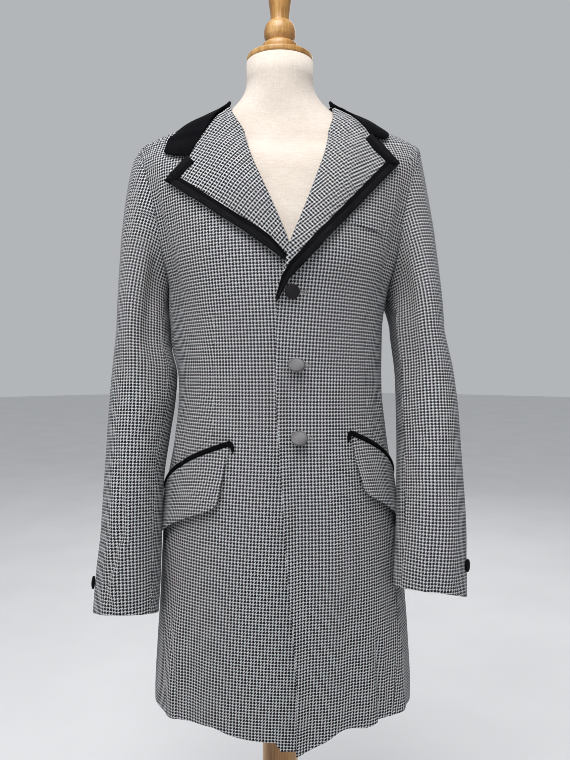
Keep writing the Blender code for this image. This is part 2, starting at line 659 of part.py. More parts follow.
def pockets():
    for side in FLAPS:
        turn, z = flap_points(side, FLAP_ROWS, FLAP_COLUMNS)
        off = front_lift(side, turn, z) + FLAP_LIFT
        wall(f"flap_{side}", body_point(turn, z, off), body_point(turn, z, off - CLOTH), "houndstooth")
        top_turn, top_z = turn[0], z[0] + SEAM_GAP
        z = np.stack([top_z, top_z + PIPING_WIDTH / 2, top_z + PIPING_WIDTH])
        turn = np.stack([top_turn] * 3)
        base = front_lift(side, turn, z) + PIPING_CLEAR
        bulge = PIPING_THICK * np.array(PIPING_ROUND)[:, None]
        wall(f"piping_{side}", body_point(turn, z, base + bulge), body_point(turn, z, base), "velvet")


def breast_welt():
    welt = BREAST_WELT
    x = np.linspace(welt["x_from"], welt["x_to"], welt["columns"])[None, :]
    rise = np.linspace(0, welt["height"], 3)[:, None]
    z = welt["z"] + rise + welt["slant"] * (x - welt["x_from"])
    turn = turn_at(x + 0 * z, z)
    off = left_lift(turn, z) + welt["off"]
    wall("breast_welt", body_point(turn, z, off), body_point(turn, z, off - welt["thick"]), "houndstooth")


def turned(name, profile, finish, sides=24, place=None):
    """A solid of revolution about +Z from (radius, height) points, bottom to top, set down at a matrix."""
    points, faces = [], []
    count = len(profile)
    for i in range(sides):
        a = 2 * math.pi * i / sides
        points += [(r * math.cos(a), r * math.sin(a), h) for r, h in profile]
    for i in range(sides):
        j = (i + 1) % sides
        for k in range(count - 1):
            faces.append([i * count + k, j * count + k, j * count + k + 1, i * count + k + 1])
    faces.append([i * count for i in reversed(range(sides))])
    faces.append([i * count + count - 1 for i in range(sides)])
    made = add_object(name, points, faces, finish)
    if place is not None:
        made.data.transform(place)
    return made


def button_profile(radius, thick):
    """A cloth-covered button: a flat back, a rounded rim and a low dome."""
    dome = [(math.cos(a), math.sin(a)) for a in np.radians((0, 30, 55, 75))]
    return [(radius * 0.55, 0.0), (radius * 0.93, thick * 0.22)] + [
        (radius * (0.62 + 0.38 * c), thick * (0.45 + 0.50 * s)) for c, s in dome
    ] + [(radius * 0.30, thick)]


def stand_on(point, normal):
    """A matrix that puts a turned piece's foot at a point with its axis along a normal."""
    turn = Vector((0, 0, 1)).rotation_difference(Vector(normal)).to_matrix().to_4x4()
    return Matrix.Translation(Vector(point)) @ turn


def front_buttons():
    for number, row in enumerate(np.array(BUTTONS), 1):
        button = dict(zip(BUTTON_COLUMNS, row))
        z = button["z"]
        turn = turn_at(button["x"], z)
        point = body_point(turn, z, left_lift(turn, z) + button["off"])
        place = stand_on(point, body_normal(turn, z))
        turned(f"button_{number}", button_profile(BUTTON_R, BUTTON_THICK), "button_cloth", 20, place)


# Sleeves


def sleeve_folds(angle, z):
    lift = np.zeros(np.broadcast(angle, z).shape)
    for fold in SLEEVE_FOLDS:
        off = np.degrees(angle) - fold["angle"]
        off = (off + 180) % 360 - 180
        ends = smoothstep(fold["z_top"], fold["z_top"] - SLEEVE_FOLD_GROWS, z)
        ends = ends * smoothstep(fold["z_low"], fold["z_low"] + SLEEVE_FOLD_FADES, z)
        lift = lift + fold["height"] * np.exp(-((off / fold["width"]) ** 2)) * ends
    return lift


def arm_ring(guide, sign, angle, z):
    """A point of the sleeve's tube below the armhole. The angle is 0 at the outside and 90 at the front."""
    inner, outer, centre_y, depth, tilt, lean = guide(z)
    fold = sleeve_folds(angle, z)
    half = (outer - inner) / 2 + fold
    depth = depth + fold
    tilt = np.radians(tilt)
    back = -np.sin(angle) * depth
    x = sign * ((inner + outer) / 2 + half * np.cos(angle))
    drop = back * np.sin(tilt) + half * np.cos(angle) * np.sin(np.radians(lean))
    return np.stack([x, centre_y + back * np.cos(tilt), z - drop], -1)


def sleeve_point(side, angle, down):
    """The sleeve's outside: down is 0 at the armhole, 1 where the cap ends and 2 at the cuff."""
    guide = Profile(SLEEVE_COLUMNS, SLEEVES[side])
    sign = 1.0 if side == "left" else -1.0
    angle, down = np.broadcast_arrays(angle, down)
    top_z, cuff_z = guide.places[-1], guide.places[0]
    turn, z = armhole_turn(angle)
    hole = body_point(sign * turn, z)
    high = (1 + np.cos(angle)) / 2
    leave_x = UNDERARM_OUT + (CAP_OUT[side] - UNDERARM_OUT) * high
    leave_z = LEAVES_DOWN["under"] + (LEAVES_DOWN["top"] - LEAVES_DOWN["under"]) * high
    leave = np.stack([sign * leave_x, 0 * high, leave_z], -1)
    start = hole + unit(leave) * SEAM_GAP
    ring = arm_ring(guide, sign, angle, np.full(angle.shape, top_z))
    length = np.linalg.norm(ring - hole, axis=-1, keepdims=True)
    fall = np.array(ARM_FALL) * length
    f = np.clip(down, 0, 1)[..., None]
    cap = (1 + 2 * f) * (1 - f) ** 2 * start + f * (1 - f) ** 2 * leave * length
    cap = cap + f * f * (3 - 2 * f) * ring + f * f * (f - 1) * fall
    arm = arm_ring(guide, sign, angle, top_z + (cuff_z - top_z) * np.clip(down - 1, 0, 1))
    return np.where((down <= 1)[..., None], cap, arm)


def sleeve_normal(side, angle, down):
    sign = 1.0 if side == "left" else -1.0
    d = 4e-3
    low, high = np.clip(down - d, 0, 2), np.clip(down + d, 0, 2)
    round_arm = sleeve_point(side, angle + d, down) - sleeve_point(side, angle - d, down)
    down_arm = sleeve_point(side, angle, high) - sleeve_point(side, angle, low)
    tube = unit(np.cross(round_arm, down_arm)) * sign
    turn, z = armhole_turn(angle)
    body = body_normal(sign * turn, z)
    on_body = (1 - smoothstep(0.0, HEAD_REACH, down)) * smoothstep(*HEAD_ANGLES, np.cos(angle))
    return unit(body * on_body[..., None] + tube * (1 - on_body)[..., None])


def sleeves():
    for side in SLEEVES:
        down = np.concatenate([np.linspace(0, 1, SLEEVE_CAP_ROWS), np.linspace(1, 2, SLEEVE_ARM_ROWS)[1:]])
        for name, (first, last) in (("top_sleeve", TOP_SLEEVE_STEPS), ("under_sleeve", UNDER_SLEEVE_STEPS)):
            angle = np.radians(np.arange(first, last + 1) * 180.0 / ARMHOLE_STEPS)
            angle[0] += 2 * SEAM_TURN
            angle[-1] -= 2 * SEAM_TURN
            a, d = np.broadcast_arrays(angle[None, :], down[:, None])
            outer = sleeve_point(side, a, d)
            inner = outer - sleeve_normal(side, a, d) * CLOTH
            wall(f"{name}_{side}", outer, inner, "houndstooth")


def cuff_buttons():
    for side in SLEEVES:
        guide = Profile(SLEEVE_COLUMNS, SLEEVES[side])
        down = 2 - CUFF_BUTTON_RISE / (guide.places[-1] - guide.places[0])
        angle = np.array(math.radians(CUFF_BUTTON_ANGLE[side]))
        normal = sleeve_normal(side, angle, np.array(down))
        point = sleeve_point(side, angle, np.array(down)) + normal * SEAM_GAP
        profile = button_profile(CUFF_BUTTON_R, CUFF_BUTTON_THICK)
        turned(f"cuff_button_{side}", profile, "velvet", 16, stand_on(point, normal))


# Dress form and stand


def form_gap(turn, z):
    """How far the form stays inside the cloth: close under the shoulders, clear everywhere else."""
    gap = FORM_SHOULDER_GAP + (FORM_GAP - FORM_SHOULDER_GAP) * smoothstep(*FORM_LETS_GO, z)
    gap = gap + FORM_NECK_GAP * smoothstep(*FORM_NARROWS, z)
    end = SHOULDER_END
    round_off = end["round_off"] * smoothstep(*end["half_widths"], BODY.one("half_width", z))
    round_off = round_off * smoothstep(*end["grows"], z) * smoothstep(*end["fades"], z)
    return gap + round_off * np.abs(np.sin(turn)) ** end["sharpness"]


def dress_form():
    """A smooth limbless torso inside the jacket, with a round neck."""
    z = np.array(FORM_ROWS)[:, None]
    turn = (np.arange(FORM_STEPS) * 2 * np.pi / FORM_STEPS - np.pi)[None, :]
    inside = body_face(turn, z) - body_normal(turn, z) * (CLOTH + form_gap(turn, z))[..., None]
    inside[0, :, 2] = FORM_BOTTOM_Z
    rings = list(inside)
    for neck_z, wider in NECK_RINGS:
        radius = NECK_R + wider
        x, y = radius * np.sin(turn[0]), NECK_Y - radius * np.cos(turn[0])
        rings.append(np.stack([x, y, np.full(FORM_STEPS, neck_z)], -1))
    faces = []
    for r in range(len(rings) - 1):
        for c in range(FORM_STEPS):
            low, high, d = r * FORM_STEPS, (r + 1) * FORM_STEPS, (c + 1) % FORM_STEPS
            faces.append([low + c, low + d, high + d, high + c])
    faces.append([c for c in reversed(range(FORM_STEPS))])
    faces.append([(len(rings) - 1) * FORM_STEPS + c for c in range(FORM_STEPS)])
    add_object("form_torso", np.concatenate(rings), faces, "form_cloth")


def stand():
    """Neck plate and finial above the neck, post below the torso, and a round base."""
    plate_z = FORM_NECK_Z + SEAM_GAP
    finial_z = plate_z + NECK_PLATE[-1][1] + SEAM_GAP
    turned("neck_plate", NECK_PLATE, "wood", 40, Matrix.Translation((0, NECK_Y, plate_z)))
    turned("finial", FINIAL, "wood", 32, Matrix.Translation((0, NECK_Y, finial_z)))
    top = FORM_BOTTOM_Z - SEAM_GAP
    flare = [(POST_R, top - POST_FLARE_HEIGHT), (POST_R * POST_FLARE, top)]
    turned("post", [(POST_R, BASE_THICK + SEAM_GAP)] + flare, "wood", 32)
    turned("base", BASE, "wood", 64)


def main():
    for old in list(bpy.data.objects):
        bpy.data.objects.remove(old)
    fronts()
    sides()
    backs()
    lapels()
    braids()
    collar()
    pockets()
    breast_welt()
    front_buttons()
    sleeves()
    cuff_buttons()
    dress_form()
    stand()


main()
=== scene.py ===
"""Looks of the houndstooth tuxedo jacket on its dress form: cloth, trim, form, stand, light and camera.

Metres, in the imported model's frame: +Z up, the jacket faces -Y, +X is the wearer's left. Each piece of
cloth is a thin shell on the same rings as its CAD solid, with finer rows, turned edges and creases of its
own. Its pattern is laid flat to get the cloth's grain, so the checks bend and break as woven cloth does.
"""

import math

import bpy
import numpy as np
from mathutils import Matrix, Vector


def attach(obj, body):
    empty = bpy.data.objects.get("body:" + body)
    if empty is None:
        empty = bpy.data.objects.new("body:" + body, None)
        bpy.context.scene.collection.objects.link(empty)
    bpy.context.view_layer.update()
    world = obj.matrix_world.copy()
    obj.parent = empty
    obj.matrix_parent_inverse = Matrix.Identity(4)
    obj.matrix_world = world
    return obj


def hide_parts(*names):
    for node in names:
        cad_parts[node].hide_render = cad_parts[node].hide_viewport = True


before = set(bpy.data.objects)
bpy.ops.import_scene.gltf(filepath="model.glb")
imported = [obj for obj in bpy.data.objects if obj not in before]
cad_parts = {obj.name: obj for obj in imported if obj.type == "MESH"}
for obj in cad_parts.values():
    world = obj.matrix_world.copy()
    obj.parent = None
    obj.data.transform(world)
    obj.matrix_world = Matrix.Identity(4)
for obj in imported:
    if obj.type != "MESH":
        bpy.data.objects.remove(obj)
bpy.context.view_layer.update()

SIGN = dict(left=1.0, right=-1.0)  # the wearer's left is at +X

# Camera: the photograph's frame and viewpoint
FRAME_HEIGHT_PX, FOCAL_PX = 760, 655
SENSOR = 36.0
CAMERA_AT = (0.0073, -0.962, 1.088)
CAMERA_PITCH = math.radians(-3.06)
PIXEL_FILTER = 0.82

# Cloth
CLOTH = 0.0018
VELVET = 0.0022
REPEAT = 0.00440  # one houndstooth check
THREADS = 8  # threads in a check
DARK_SHARE = 0.60  # share of a check that is dark thread
# How a turned edge rounds off: its reach, and its depth as a share of half the cloth
FREE_EDGE = dict(reach=0.0014, depth=0.80)
SEWN_EDGE = dict(reach=0.0009, depth=0.45)
# Edges of a panel that is free only at its hem, of trim and of velvet: low, high, first and last
HEMMED = (FREE_EDGE, SEWN_EDGE, SEWN_EDGE, SEWN_EDGE)
SEWN_ROUND, FREE_ROUND = (SEWN_EDGE,) * 4, (FREE_EDGE,) * 4
SEAM_TURN, SEAM_GAP = 0.0004, 0.0003
NEARBY = dict(body=2e-3, sleeve=4e-3)  # steps between the points that a slope is taken from

# Heights
HEM_Z, HEM_SETTLES_Z = 0.560, 0.700
ARMHOLE_Z, ARMHOLE_HALF_HEIGHT = 1.2643, 0.1042
ARMHOLE_Y, ARMHOLE_FRONT, ARMHOLE_BACK = 0.012, 0.060, 0.064
NECK_SEAM_Z, NECK_SEAM_GAP = 1.430, 0.0006
CORNER_ANGLE = math.radians(150)  # armhole angle of the side seams: 0 at the shoulder point, 90 in front

# Grids
RIM = (0.0, 0.003, 0.008, 0.016)  # shares of a panel's width where its turned edge needs points
HEM_RIM = (0.0, 0.0006, 0.0016, 0.0034)
SKIRT_STEPS, ARMHOLE_STEPS, SHOULDER_STEPS = 120, 36, 16
FRONT_COLUMNS, BACK_COLUMNS, SIDE_COLUMNS, SIDE_RIM = 64, 40, 36, 0.004
PATTERN_ROWS, PATTERN_COLUMNS, PATTERN_ROUNDS, SETTLE_ROUNDS = 26, 14, 400, 160

# Applied pieces
LAPEL_LIFT, LAPEL_ROLL, LAPEL_ROLL_REACH = 0.0050, 0.0045, 0.060
LAPEL_ROLL_GROWS = (1.16, 1.26)
LAPEL_BRIDGE = dict(z=1.372, reach=0.026, lift=0.0075)  # it spans the hollow above the chest
LAPEL_ROWS, LAPEL_COLUMNS, LAPEL_TURN_STEPS = 90, 60, 7
BRAID_WIDTH, BRAID_THICK, BRAID_CLEAR = 0.014, 0.0016, 0.0009
BRAID_FOOT_SHARE, BRAID_GROWS, BRAID_STOPS = 0.30, 0.045, 0.985
BRAID_COLUMNS, BRAID_TIP_ROWS, BRAID_MITRE_LEAST = 25, 18, 0.4
BRAID_BAND = 0.60  # share of its width where the charcoal band ends
FLAP_LIFT, FLAP_SPRING, FLAP_ROWS, FLAP_COLUMNS = 0.0029, 0.0060, 34, 52
FLAP_CORNER = dict(across=0.12, rise=0.008)  # the front lower corner's rounding
OVERLAP = 0.040
OVERLAP_LIFT, OVERLAP_FLAT, OVERLAP_REACH = 0.0030, 0.044, 0.130
OVERLAP_FADES = (1.34, 1.24)
# The free edge stands off below the lapel
EDGE_CURL = dict(height=0.0072, reach=0.012, grows=(1.14, 1.04))
CROSSING_LIFT, CROSSING_Z, CROSSING_REACH = 0.0080, 1.200, 0.036

# Buttons: the lower two hang out and face the sky; the top one takes a darker copy of their satin, which is
# painted shade
BUTTON_THICK = 0.0048
BUTTON_COLUMNS = ("x", "z", "radius", "clearance", "tilt", "finish")
BUTTONS = {
    "button_1": (0.0162, 1.1550, 0.0094, 0.0014, -8.0, "button_painted_shade"),
    "button_2": (0.0213, 1.0620, 0.0107, 0.0040, 38.0, "button_cloth"),
    "button_3": (0.0246, 0.9685, 0.0110, 0.0038, 38.0, "button_cloth"),
}
# A button's outline: shares of its radius and thickness, and the angles that its rim runs through
BUTTON_SHAPE = dict(
    back=0.55, core=0.84, roll=0.16, rim_middle=0.42, rim_half=0.36, rim_angles=(-70, 62), rim_steps=16,
    dome_steps=10, dome_reach=0.98,
)
BUTTONHOLE = dict(
    start=-0.002, end=0.0195, half_width=0.0017, thread=0.0007, roundness=0.4, steps=48, sides=8
)
CUFF_BUTTON_R, CUFF_BUTTON_THICK = 0.0085, 0.0046

# Dress form and stand
FORM_GAP, FORM_SHOULDER_GAP = 0.0090, 0.0012
FORM_LETS_GO = (1.365, 1.30)  # heights between which the gap to the cloth widens
FORM_BOTTOM_Z, FORM_SWEEP_Z, NECK_FOOT_Z, FORM_NECK_Z = 0.700, 1.380, 1.470, 1.4955
# How strongly the shoulder runs on before it turns up the neck
FORM_SWEEP = dict(leaves=0.080, rises=0.200)
FORM_ROWS, FORM_SWEEP_ROWS, FORM_SIDES = 70, 36, 120
SHOULDER_END = dict(
    round_off=0.035, sharpness=6, half_widths=(0.150, 0.200), grows=(1.14, 1.20), fades=(1.392, 1.365)
)
NECK_R, NECK_Y = 0.0485, 0.014


def hermite(f, start, leave, end, arrive):
    """A smooth curve from a start to an end that leaves and arrives in given directions."""
    made = (1 + 2 * f) * (1 - f) ** 2 * start + f * f * (3 - 2 * f) * end
    return made + f * (1 - f) ** 2 * leave + f * f * (f - 1) * arrive


class Profile:
    """Smooth curves through a table's columns, read at a place in its first column, with no overshoot."""

    def __init__(self, columns, rows):
        self.columns = columns[1:]
        data = np.array(rows, float)
        self.places, self.values = data[:, 0], data[:, 1:]
        steps = np.diff(self.values, axis=0) / np.diff(self.places)[:, None]
        before, after = steps[:-1], steps[1:]
        same_way = before * after > 0
        total = np.where(same_way, before + after, 1.0)
        inner = np.where(same_way, 2 * before * after / total, 0.0)
        self.slopes = np.concatenate([steps[:1], inner, steps[-1:]])

    def table(self, place):
        place = np.asarray(place, float)
        i = np.clip(np.searchsorted(self.places, place) - 1, 0, len(self.places) - 2)
        gap = self.places[i + 1] - self.places[i]
        f = np.clip((place - self.places[i]) / gap, 0.0, 1.0)[..., None]
        gap = gap[..., None]
        leave, arrive = gap * self.slopes[i], gap * self.slopes[i + 1]
        return hermite(f, self.values[i], leave, self.values[i + 1], arrive)

    def __call__(self, place):
        made = self.table(place)
        return [made[..., k] for k in range(made.shape[-1])]

    def one(self, column, place):
        return self(place)[self.columns.index(column)]


# Rings round the body: outside of the cloth with the sleeves left off
BODY = Profile(
    ("z", "half_width", "front", "back", "centre_y"),
    [
        (0.530, 0.1870, 0.1200, 0.1250, 0.000),
        (0.580, 0.1890, 0.1255, 0.1250, 0.000),
        (0.655, 0.1850, 0.1310, 0.1250, 0.000),
        (0.720, 0.1800, 0.1345, 0.1230, 0.000),
        (0.800, 0.1740, 0.1375, 0.1190, 0.000),
        (0.875, 0.1665, 0.1370, 0.1125, 0.000),
        (0.911, 0.1620, 0.1350, 0.1075, 0.000),
        (0.963, 0.1540, 0.1320, 0.0990, 0.000),
        (1.038, 0.1467, 0.1290, 0.0910, 0.000),
        (1.105, 0.1470, 0.1300, 0.0940, 0.000),
        (1.160, 0.1540, 0.1320, 0.1030, 0.001),
        (1.206, 0.1680, 0.1310, 0.1090, 0.002),
        (1.240, 0.1785, 0.1265, 0.1120, 0.004),
        (1.285, 0.1920, 0.1165, 0.1110, 0.006),
        (1.325, 0.2010, 0.1010, 0.1050, 0.008),
        (1.347, 0.2060, 0.0870, 0.0970, 0.010),
        (1.3685, 0.2030, 0.0680, 0.0840, 0.012),
        (1.380, 0.1855, 0.0630, 0.0760, 0.012),
        (1.392, 0.1580, 0.0600, 0.0700, 0.013),
        (1.403, 0.1270, 0.0580, 0.0650, 0.015),
        (1.416, 0.0965, 0.0580, 0.0610, 0.017),
        (1.430, 0.0775, 0.0590, 0.0580, 0.018),
        (1.443, 0.0690, 0.0600, 0.0560, 0.018),
        (1.470, 0.0645, 0.0600, 0.0530, 0.018),
        (1.500, 0.0645, 0.0600, 0.0530, 0.018),
    ],
)
FRONT_POWER, BACK_POWER = 2.25, 2.15

# Free edges of the fronts
LEFT_EDGE = Profile(
    ("z", "x"),
    [
        (0.550, 0.0212),
        (0.628, 0.0222),
        (0.710, 0.0177),
        (0.800, 0.0102),
        (0.917, 0.0029),
        (1.036, -0.0041),
        (1.094, -0.0043),
        (1.140, -0.0028),
        (1.181, 0.0073),
        (1.214, 0.0149),
        (1.250, 0.0284),
        (1.300, 0.0467),
        (1.378, 0.0705),
        (1.410, 0.0745),
        (1.440, 0.0745),
    ],
)
RIGHT_ROLL = Profile(
    ("z", "x"),
    [
        (1.140, 0.0372),
        (1.212, 0.0136),
        (1.274, -0.0114),
        (1.329, -0.0351),
        (1.377, -0.0525),
        (1.410, -0.0660),
        (1.440, -0.0740),
    ],
)
ROLL_LINES = {"left": LEFT_EDGE, "right": RIGHT_ROLL}

# How far the hem hangs below its level, by degrees round each side from the centre front
HEM_DIP_COLUMNS = ("turn", "dip")
HEM_DIP = {
    "left": Profile(
        HEM_DIP_COLUMNS,
        [
            (0, 0.0105), (5, 0.0105), (15, -0.0005), (25, -0.0145), (36, -0.0100),
            (46, -0.0130), (65, -0.0130), (90, -0.0040), (130, 0.0000), (180, 0.0000),
        ],
    ),
    "right": Profile(
        HEM_DIP_COLUMNS,
        [
            (0, -0.0020), (5, -0.0030), (17, -0.0090), (27, -0.0180), (48, -0.0160),
            (62, -0.0180), (78, -0.0125), (92, 0.0000), (130, 0.0000), (180, 0.0000),
        ],
    ),
}

# Seams under the arm, in degrees round the body from the centre front
FRONT_SEAM = Profile(
    ("z", "turn"), [(0.560, 54.0), (0.700, 61.0), (0.850, 68.0), (1.037, 75.5), (1.174, 80.2)]
)
BACK_SEAM = Profile(
    ("z", "turn"), [(0.560, 118.0), (0.850, 114.0), (1.037, 112.0), (1.174, 106.3)]
)

# Largest folds: soft ridges (+) and troughs (-) down the body, in degrees round it
FOLD_GROWS, FOLD_FADES = 0.45, 0.60
FOLD_COLUMNS = ("turn_top", "turn_low", "z_top", "z_low", "width", "height")
BODY_FOLDS = [
    (-46, -52, 0.80, 0.45, 0.018, 0.0042),
    (-36, -40, 0.76, 0.45, 0.024, -0.0034),
    (46, 50, 0.74, 0.45, 0.014, -0.0060),
    (62, 64, 0.78, 0.45, 0.018, 0.0050),
    (24, 31, 0.80, 0.45, 0.026, -0.0050),
    (90, 90, 0.90, 0.45, 0.060, 0.0050),
    (-90, -90, 0.90, 0.45, 0.060, -0.0050),
    (140, 146, 0.84, 0.45, 0.026, 0.0060),
    (-140, -146, 0.84, 0.45, 0.026, 0.0060),
    (-58, -68, 1.35, 1.10, 0.016, -0.0075),
    (57, 67, 1.35, 1.12, 0.016, -0.0065),
    (-88, -88, 1.20, 1.035, 0.035, 0.0115),
    (-88, -88, 1.06, 0.880, 0.035, -0.0042),
]

# Smaller creases: width, height and a path of (turn, z) down the body
CREASE_ENDS = 0.7  # how bluntly a crease runs out
BODY_CREASES = [
    (0.011, -0.0034, [(50, 1.320), (49, 1.250), (52, 1.225), (64, 1.185)]),
    (0.011, -0.0030, [(-52, 1.320), (-50, 1.250), (-54, 1.215), (-64, 1.180)]),
    (0.006, -0.0032, [(-60, 1.000), (-57, 0.968), (-54, 0.935), (-53, 0.900)]),
    (0.009, 0.0022, [(-70, 0.985), (-66, 0.955), (-63, 0.920)]),
    (0.008, -0.0022, [(64, 1.020), (60, 0.985), (56, 0.955)]),
    (0.010, 0.0018, [(76, 1.050), (70, 1.015), (66, 0.980)]),
    (0.013, -0.0020, [(-62, 1.190), (-53, 1.140), (-46, 1.070)]),
    (0.013, -0.0018, [(62, 1.200), (54, 1.150), (47, 1.080)]),
    (0.009, 0.0010, [(12, 1.150), (26, 1.128), (42, 1.120)]),
    (0.010, -0.0012, [(14, 1.048), (26, 1.062), (38, 1.066)]),
    (0.009, 0.0010, [(-8, 1.120), (-20, 1.106), (-30, 1.100)]),
    (0.013, 0.0022, [(21, 0.900), (22.5, 0.757), (25, 0.550)]),
    (0.004, -0.0034, [(44, 0.710), (44.5, 0.630), (46, 0.540)]),
    (0.006, 0.0030, [(48, 0.700), (48.5, 0.620), (50, 0.540)]),
    (0.005, -0.0022, [(-57, 0.740), (-49, 0.660), (-45, 0.550)]),
    (0.012, -0.0022, [(112, 1.10), (122, 1.06), (134, 1.04)]),
    (0.012, -0.0022, [(-114, 1.09), (-124, 1.05), (-136, 1.035)]),
    (0.012, 0.0018, [(118, 1.02), (130, 1.00), (146, 0.99)]),
    (0.013, 0.0018, [(-116, 1.01), (-130, 0.985), (-144, 0.98)]),
    (0.013, -0.0024, [(128, 1.27), (134, 1.20), (136, 1.14)]),
    (0.013, -0.0024, [(-127, 1.28), (-133, 1.20), (-136, 1.12)]),
    (0.018, 0.0022, [(158, 0.86), (161, 0.72), (163, 0.54)]),
    (0.018, 0.0020, [(-156, 0.84), (-160, 0.70), (-164, 0.54)]),
]

# Waist darts: degrees round the body where they run, heights, and how much cloth they take up at the widest
DARTS = {
    "left": dict(path=[(1.150, 46.5), (1.041, 50.5), (0.950, 48.5)], intake=0.010),
    "right": dict(path=[(1.150, -32.0), (1.041, -33.5), (0.950, -31.0)], intake=0.010),
}
DART_GROOVE, DART_REACH = 0.0009, 0.0035
DART_SHARE, DART_MARGIN = 0.5, 0.3  # its place across the front's columns, and its least share from an edge

# Lapel corners seen from the front: x, z. The edge runs from the foot by the low point to the tip.
LAPELS = {
    "left": dict(
        foot=(-0.0012, 1.1440), low=(0.0122, 1.1692), tip=(0.1596, 1.3310),
        notch=(0.1223, 1.3655), gorge=(0.0810, 1.4175),
    ),
    "right": dict(
        foot=(0.0190, 1.1860), low=(0.0110, 1.1906), tip=(-0.1510, 1.3057),
        notch=(-0.1205, 1.3368), gorge=(-0.0758, 1.4175),
    ),
}
LAPEL_LOW_SHARE, LAPEL_SPLIT = 0.10, 0.62

# Collar from its front end, at the notch, to the centre back: its outer edge, then its fold
COLLAR_COLUMNS = ("along", "outer_turn", "outer_z", "outer_lift", "inner_turn", "inner_z", "inner_lift")
COLLAR_FRONTS = {
    "left": [
        (0.00, 42.0, 1.3680, 0.0050), (0.05, 48.0, 1.3745, 0.0048), (0.09, 51.5, 1.3790, 0.0046),
        (0.14, 58.0, 1.3903, 0.0034), (0.20, 66.0, 1.3976, 0.0030), (0.27, 73.0, 1.4027, 0.0032),
        (0.34, 78.5, 1.4063, 0.0036),
    ],
    "right": [
        (0.00, 42.5, 1.3425, 0.0050), (0.05, 47.3, 1.3500, 0.0048), (0.10, 47.2, 1.3625, 0.0046),
        (0.15, 47.5, 1.3757, 0.0044), (0.21, 54.3, 1.3885, 0.0030), (0.27, 65.0, 1.3981, 0.0030),
        (0.34, 76.0, 1.4046, 0.0036),
    ],
}
COLLAR_BACK = [
    (0.48, 84.0, 1.4085, 0.0044, 66.0, 1.4315, 0.0040),
    (0.64, 112.0, 1.4070, 0.0060, 100.0, 1.4350, 0.0036),
    (0.82, 146.0, 1.4045, 0.0080, 142.0, 1.4490, 0.0028),
    (1.00, 180.0, 1.4030, 0.0080, 180.0, 1.4600, 0.0028),
]
GORGE_LAP, GORGE_LIFT = 0.0015, 0.0014
COLLAR_ROWS, COLLAR_STEPS, COLLAR_CROWD = 100, 24, 1.35  # rows crowd towards the rounded front end
COLLAR_FOLDS = (0.30, 0.44)  # shares of the way along where its seam turns into a fold
STAND_FROM, STAND_CLEAR = 0.50, 0.0010

# Pocket flaps: corners in degrees round the body and height
FLAPS = {
    "left": dict(
        front_top=(34.3, 0.9695), front_low=(37.5, 0.895),
        back_top=(91.0, 0.891), back_low=(90.0, 0.803),
    ),
    "right": dict(
        front_top=(-21.7, 0.9575), front_low=(-25.0, 0.878),
        back_top=(-84.0, 0.8785), back_low=(-84.0, 0.799),
    ),
}
FLAP_ARCH = 0.007
PIPING_HALF, PIPING_THICK, PIPING_CLEAR = 0.0037, 0.0034, 0.0012
PIPING_HOOK = dict(out=0.0045, down=0.0125, curl=0.62, quickens=1.3, thins=0.75, steps=10)
PIPING_SIDES = 13
BREAST_WELT = dict(x_from=0.080, x_to=0.139, z=1.2455, height=0.0230, slant=-0.20, off=0.0022)
WELT_COLUMNS, WELT_ROWS = 30, 12

# Sleeves: rings down the arm below the armhole
SLEEVE_COLUMNS = ("z", "inner_x", "outer_x", "centre_y", "half_depth", "tilt", "lean")
SLEEVES = {
    "left": Profile(
        SLEEVE_COLUMNS,
        [
            (0.7545, 0.1530, 0.2530, -0.0930, 0.0470, 19.0, 8.0),
            (0.795, 0.1558, 0.2530, -0.0880, 0.0500, 14.0, 6.0),
            (0.845, 0.1592, 0.2540, -0.0790, 0.0530, 12.0, 3.0),
            (0.900, 0.1622, 0.2534, -0.0640, 0.0575, 13.0, 1.0),
            (0.965, 0.1650, 0.2515, -0.0460, 0.0615, 14.0, 0.0),
            (1.040, 0.1660, 0.2470, -0.0260, 0.0655, 12.0, 0.0),
            (1.105, 0.1605, 0.2360, -0.0110, 0.0695, 9.0, 0.0),
        ],
    ),
    "right": Profile(
        SLEEVE_COLUMNS,
        [
            (0.7245, 0.1655, 0.2538, -0.0880, 0.0470, 17.0, 0.0),
            (0.780, 0.1630, 0.2499, -0.0820, 0.0500, 13.0, 0.0),
            (0.835, 0.1625, 0.2448, -0.0740, 0.0530, 12.0, 0.0),
            (0.900, 0.1622, 0.2433, -0.0590, 0.0575, 13.0, 0.0),
            (0.965, 0.1555, 0.2415, -0.0430, 0.0615, 14.0, 0.0),
            (1.007, 0.1502, 0.2402, -0.0320, 0.0635, 13.0, 0.0),
            (1.045, 0.1482, 0.2388, -0.0230, 0.0658, 11.8, 0.0),
            (1.085, 0.1575, 0.2360, -0.0145, 0.0682, 10.0, 0.0),
            (1.105, 0.1595, 0.2345, -0.0100, 0.0695, 9.0, 0.0),
        ],
    ),
}
CAP_OUT = dict(left=0.02, right=0.24)
UNDERARM_OUT = 0.22
LEAVES_DOWN = dict(top=-0.1, under=-0.9)
ARM_FALL = (0.0, -0.12, -1.0)
HEAD_REACH, HEAD_ANGLES = 0.35, (-0.4, 0.3)
TOP_SLEEVE, UNDER_SLEEVE = (-105.0, 150.0), (150.0, 255.0)
SLEEVE_CAP_STEPS, SLEEVE_ARM_STEPS, SLEEVE_STEP, CUFF_RIM = 40, 90, 3.0, 0.5
CUFF_BUTTON_ANGLE, CUFF_BUTTON_RISE = dict(left=20.0, right=12.0), 0.041
SLEEVE_FOLDS = [
    dict(angle=38, z_top=1.02, z_low=0.62, width=22, height=-0.0040),
    dict(angle=100, z_top=0.96, z_low=0.84, width=24, height=0.0030),
    dict(angle=-80, z_top=1.02, z_low=0.80, width=30, height=-0.0035),
]
SLEEVE_FOLD_GROWS, SLEEVE_FOLD_FADES = 0.10, 0.05

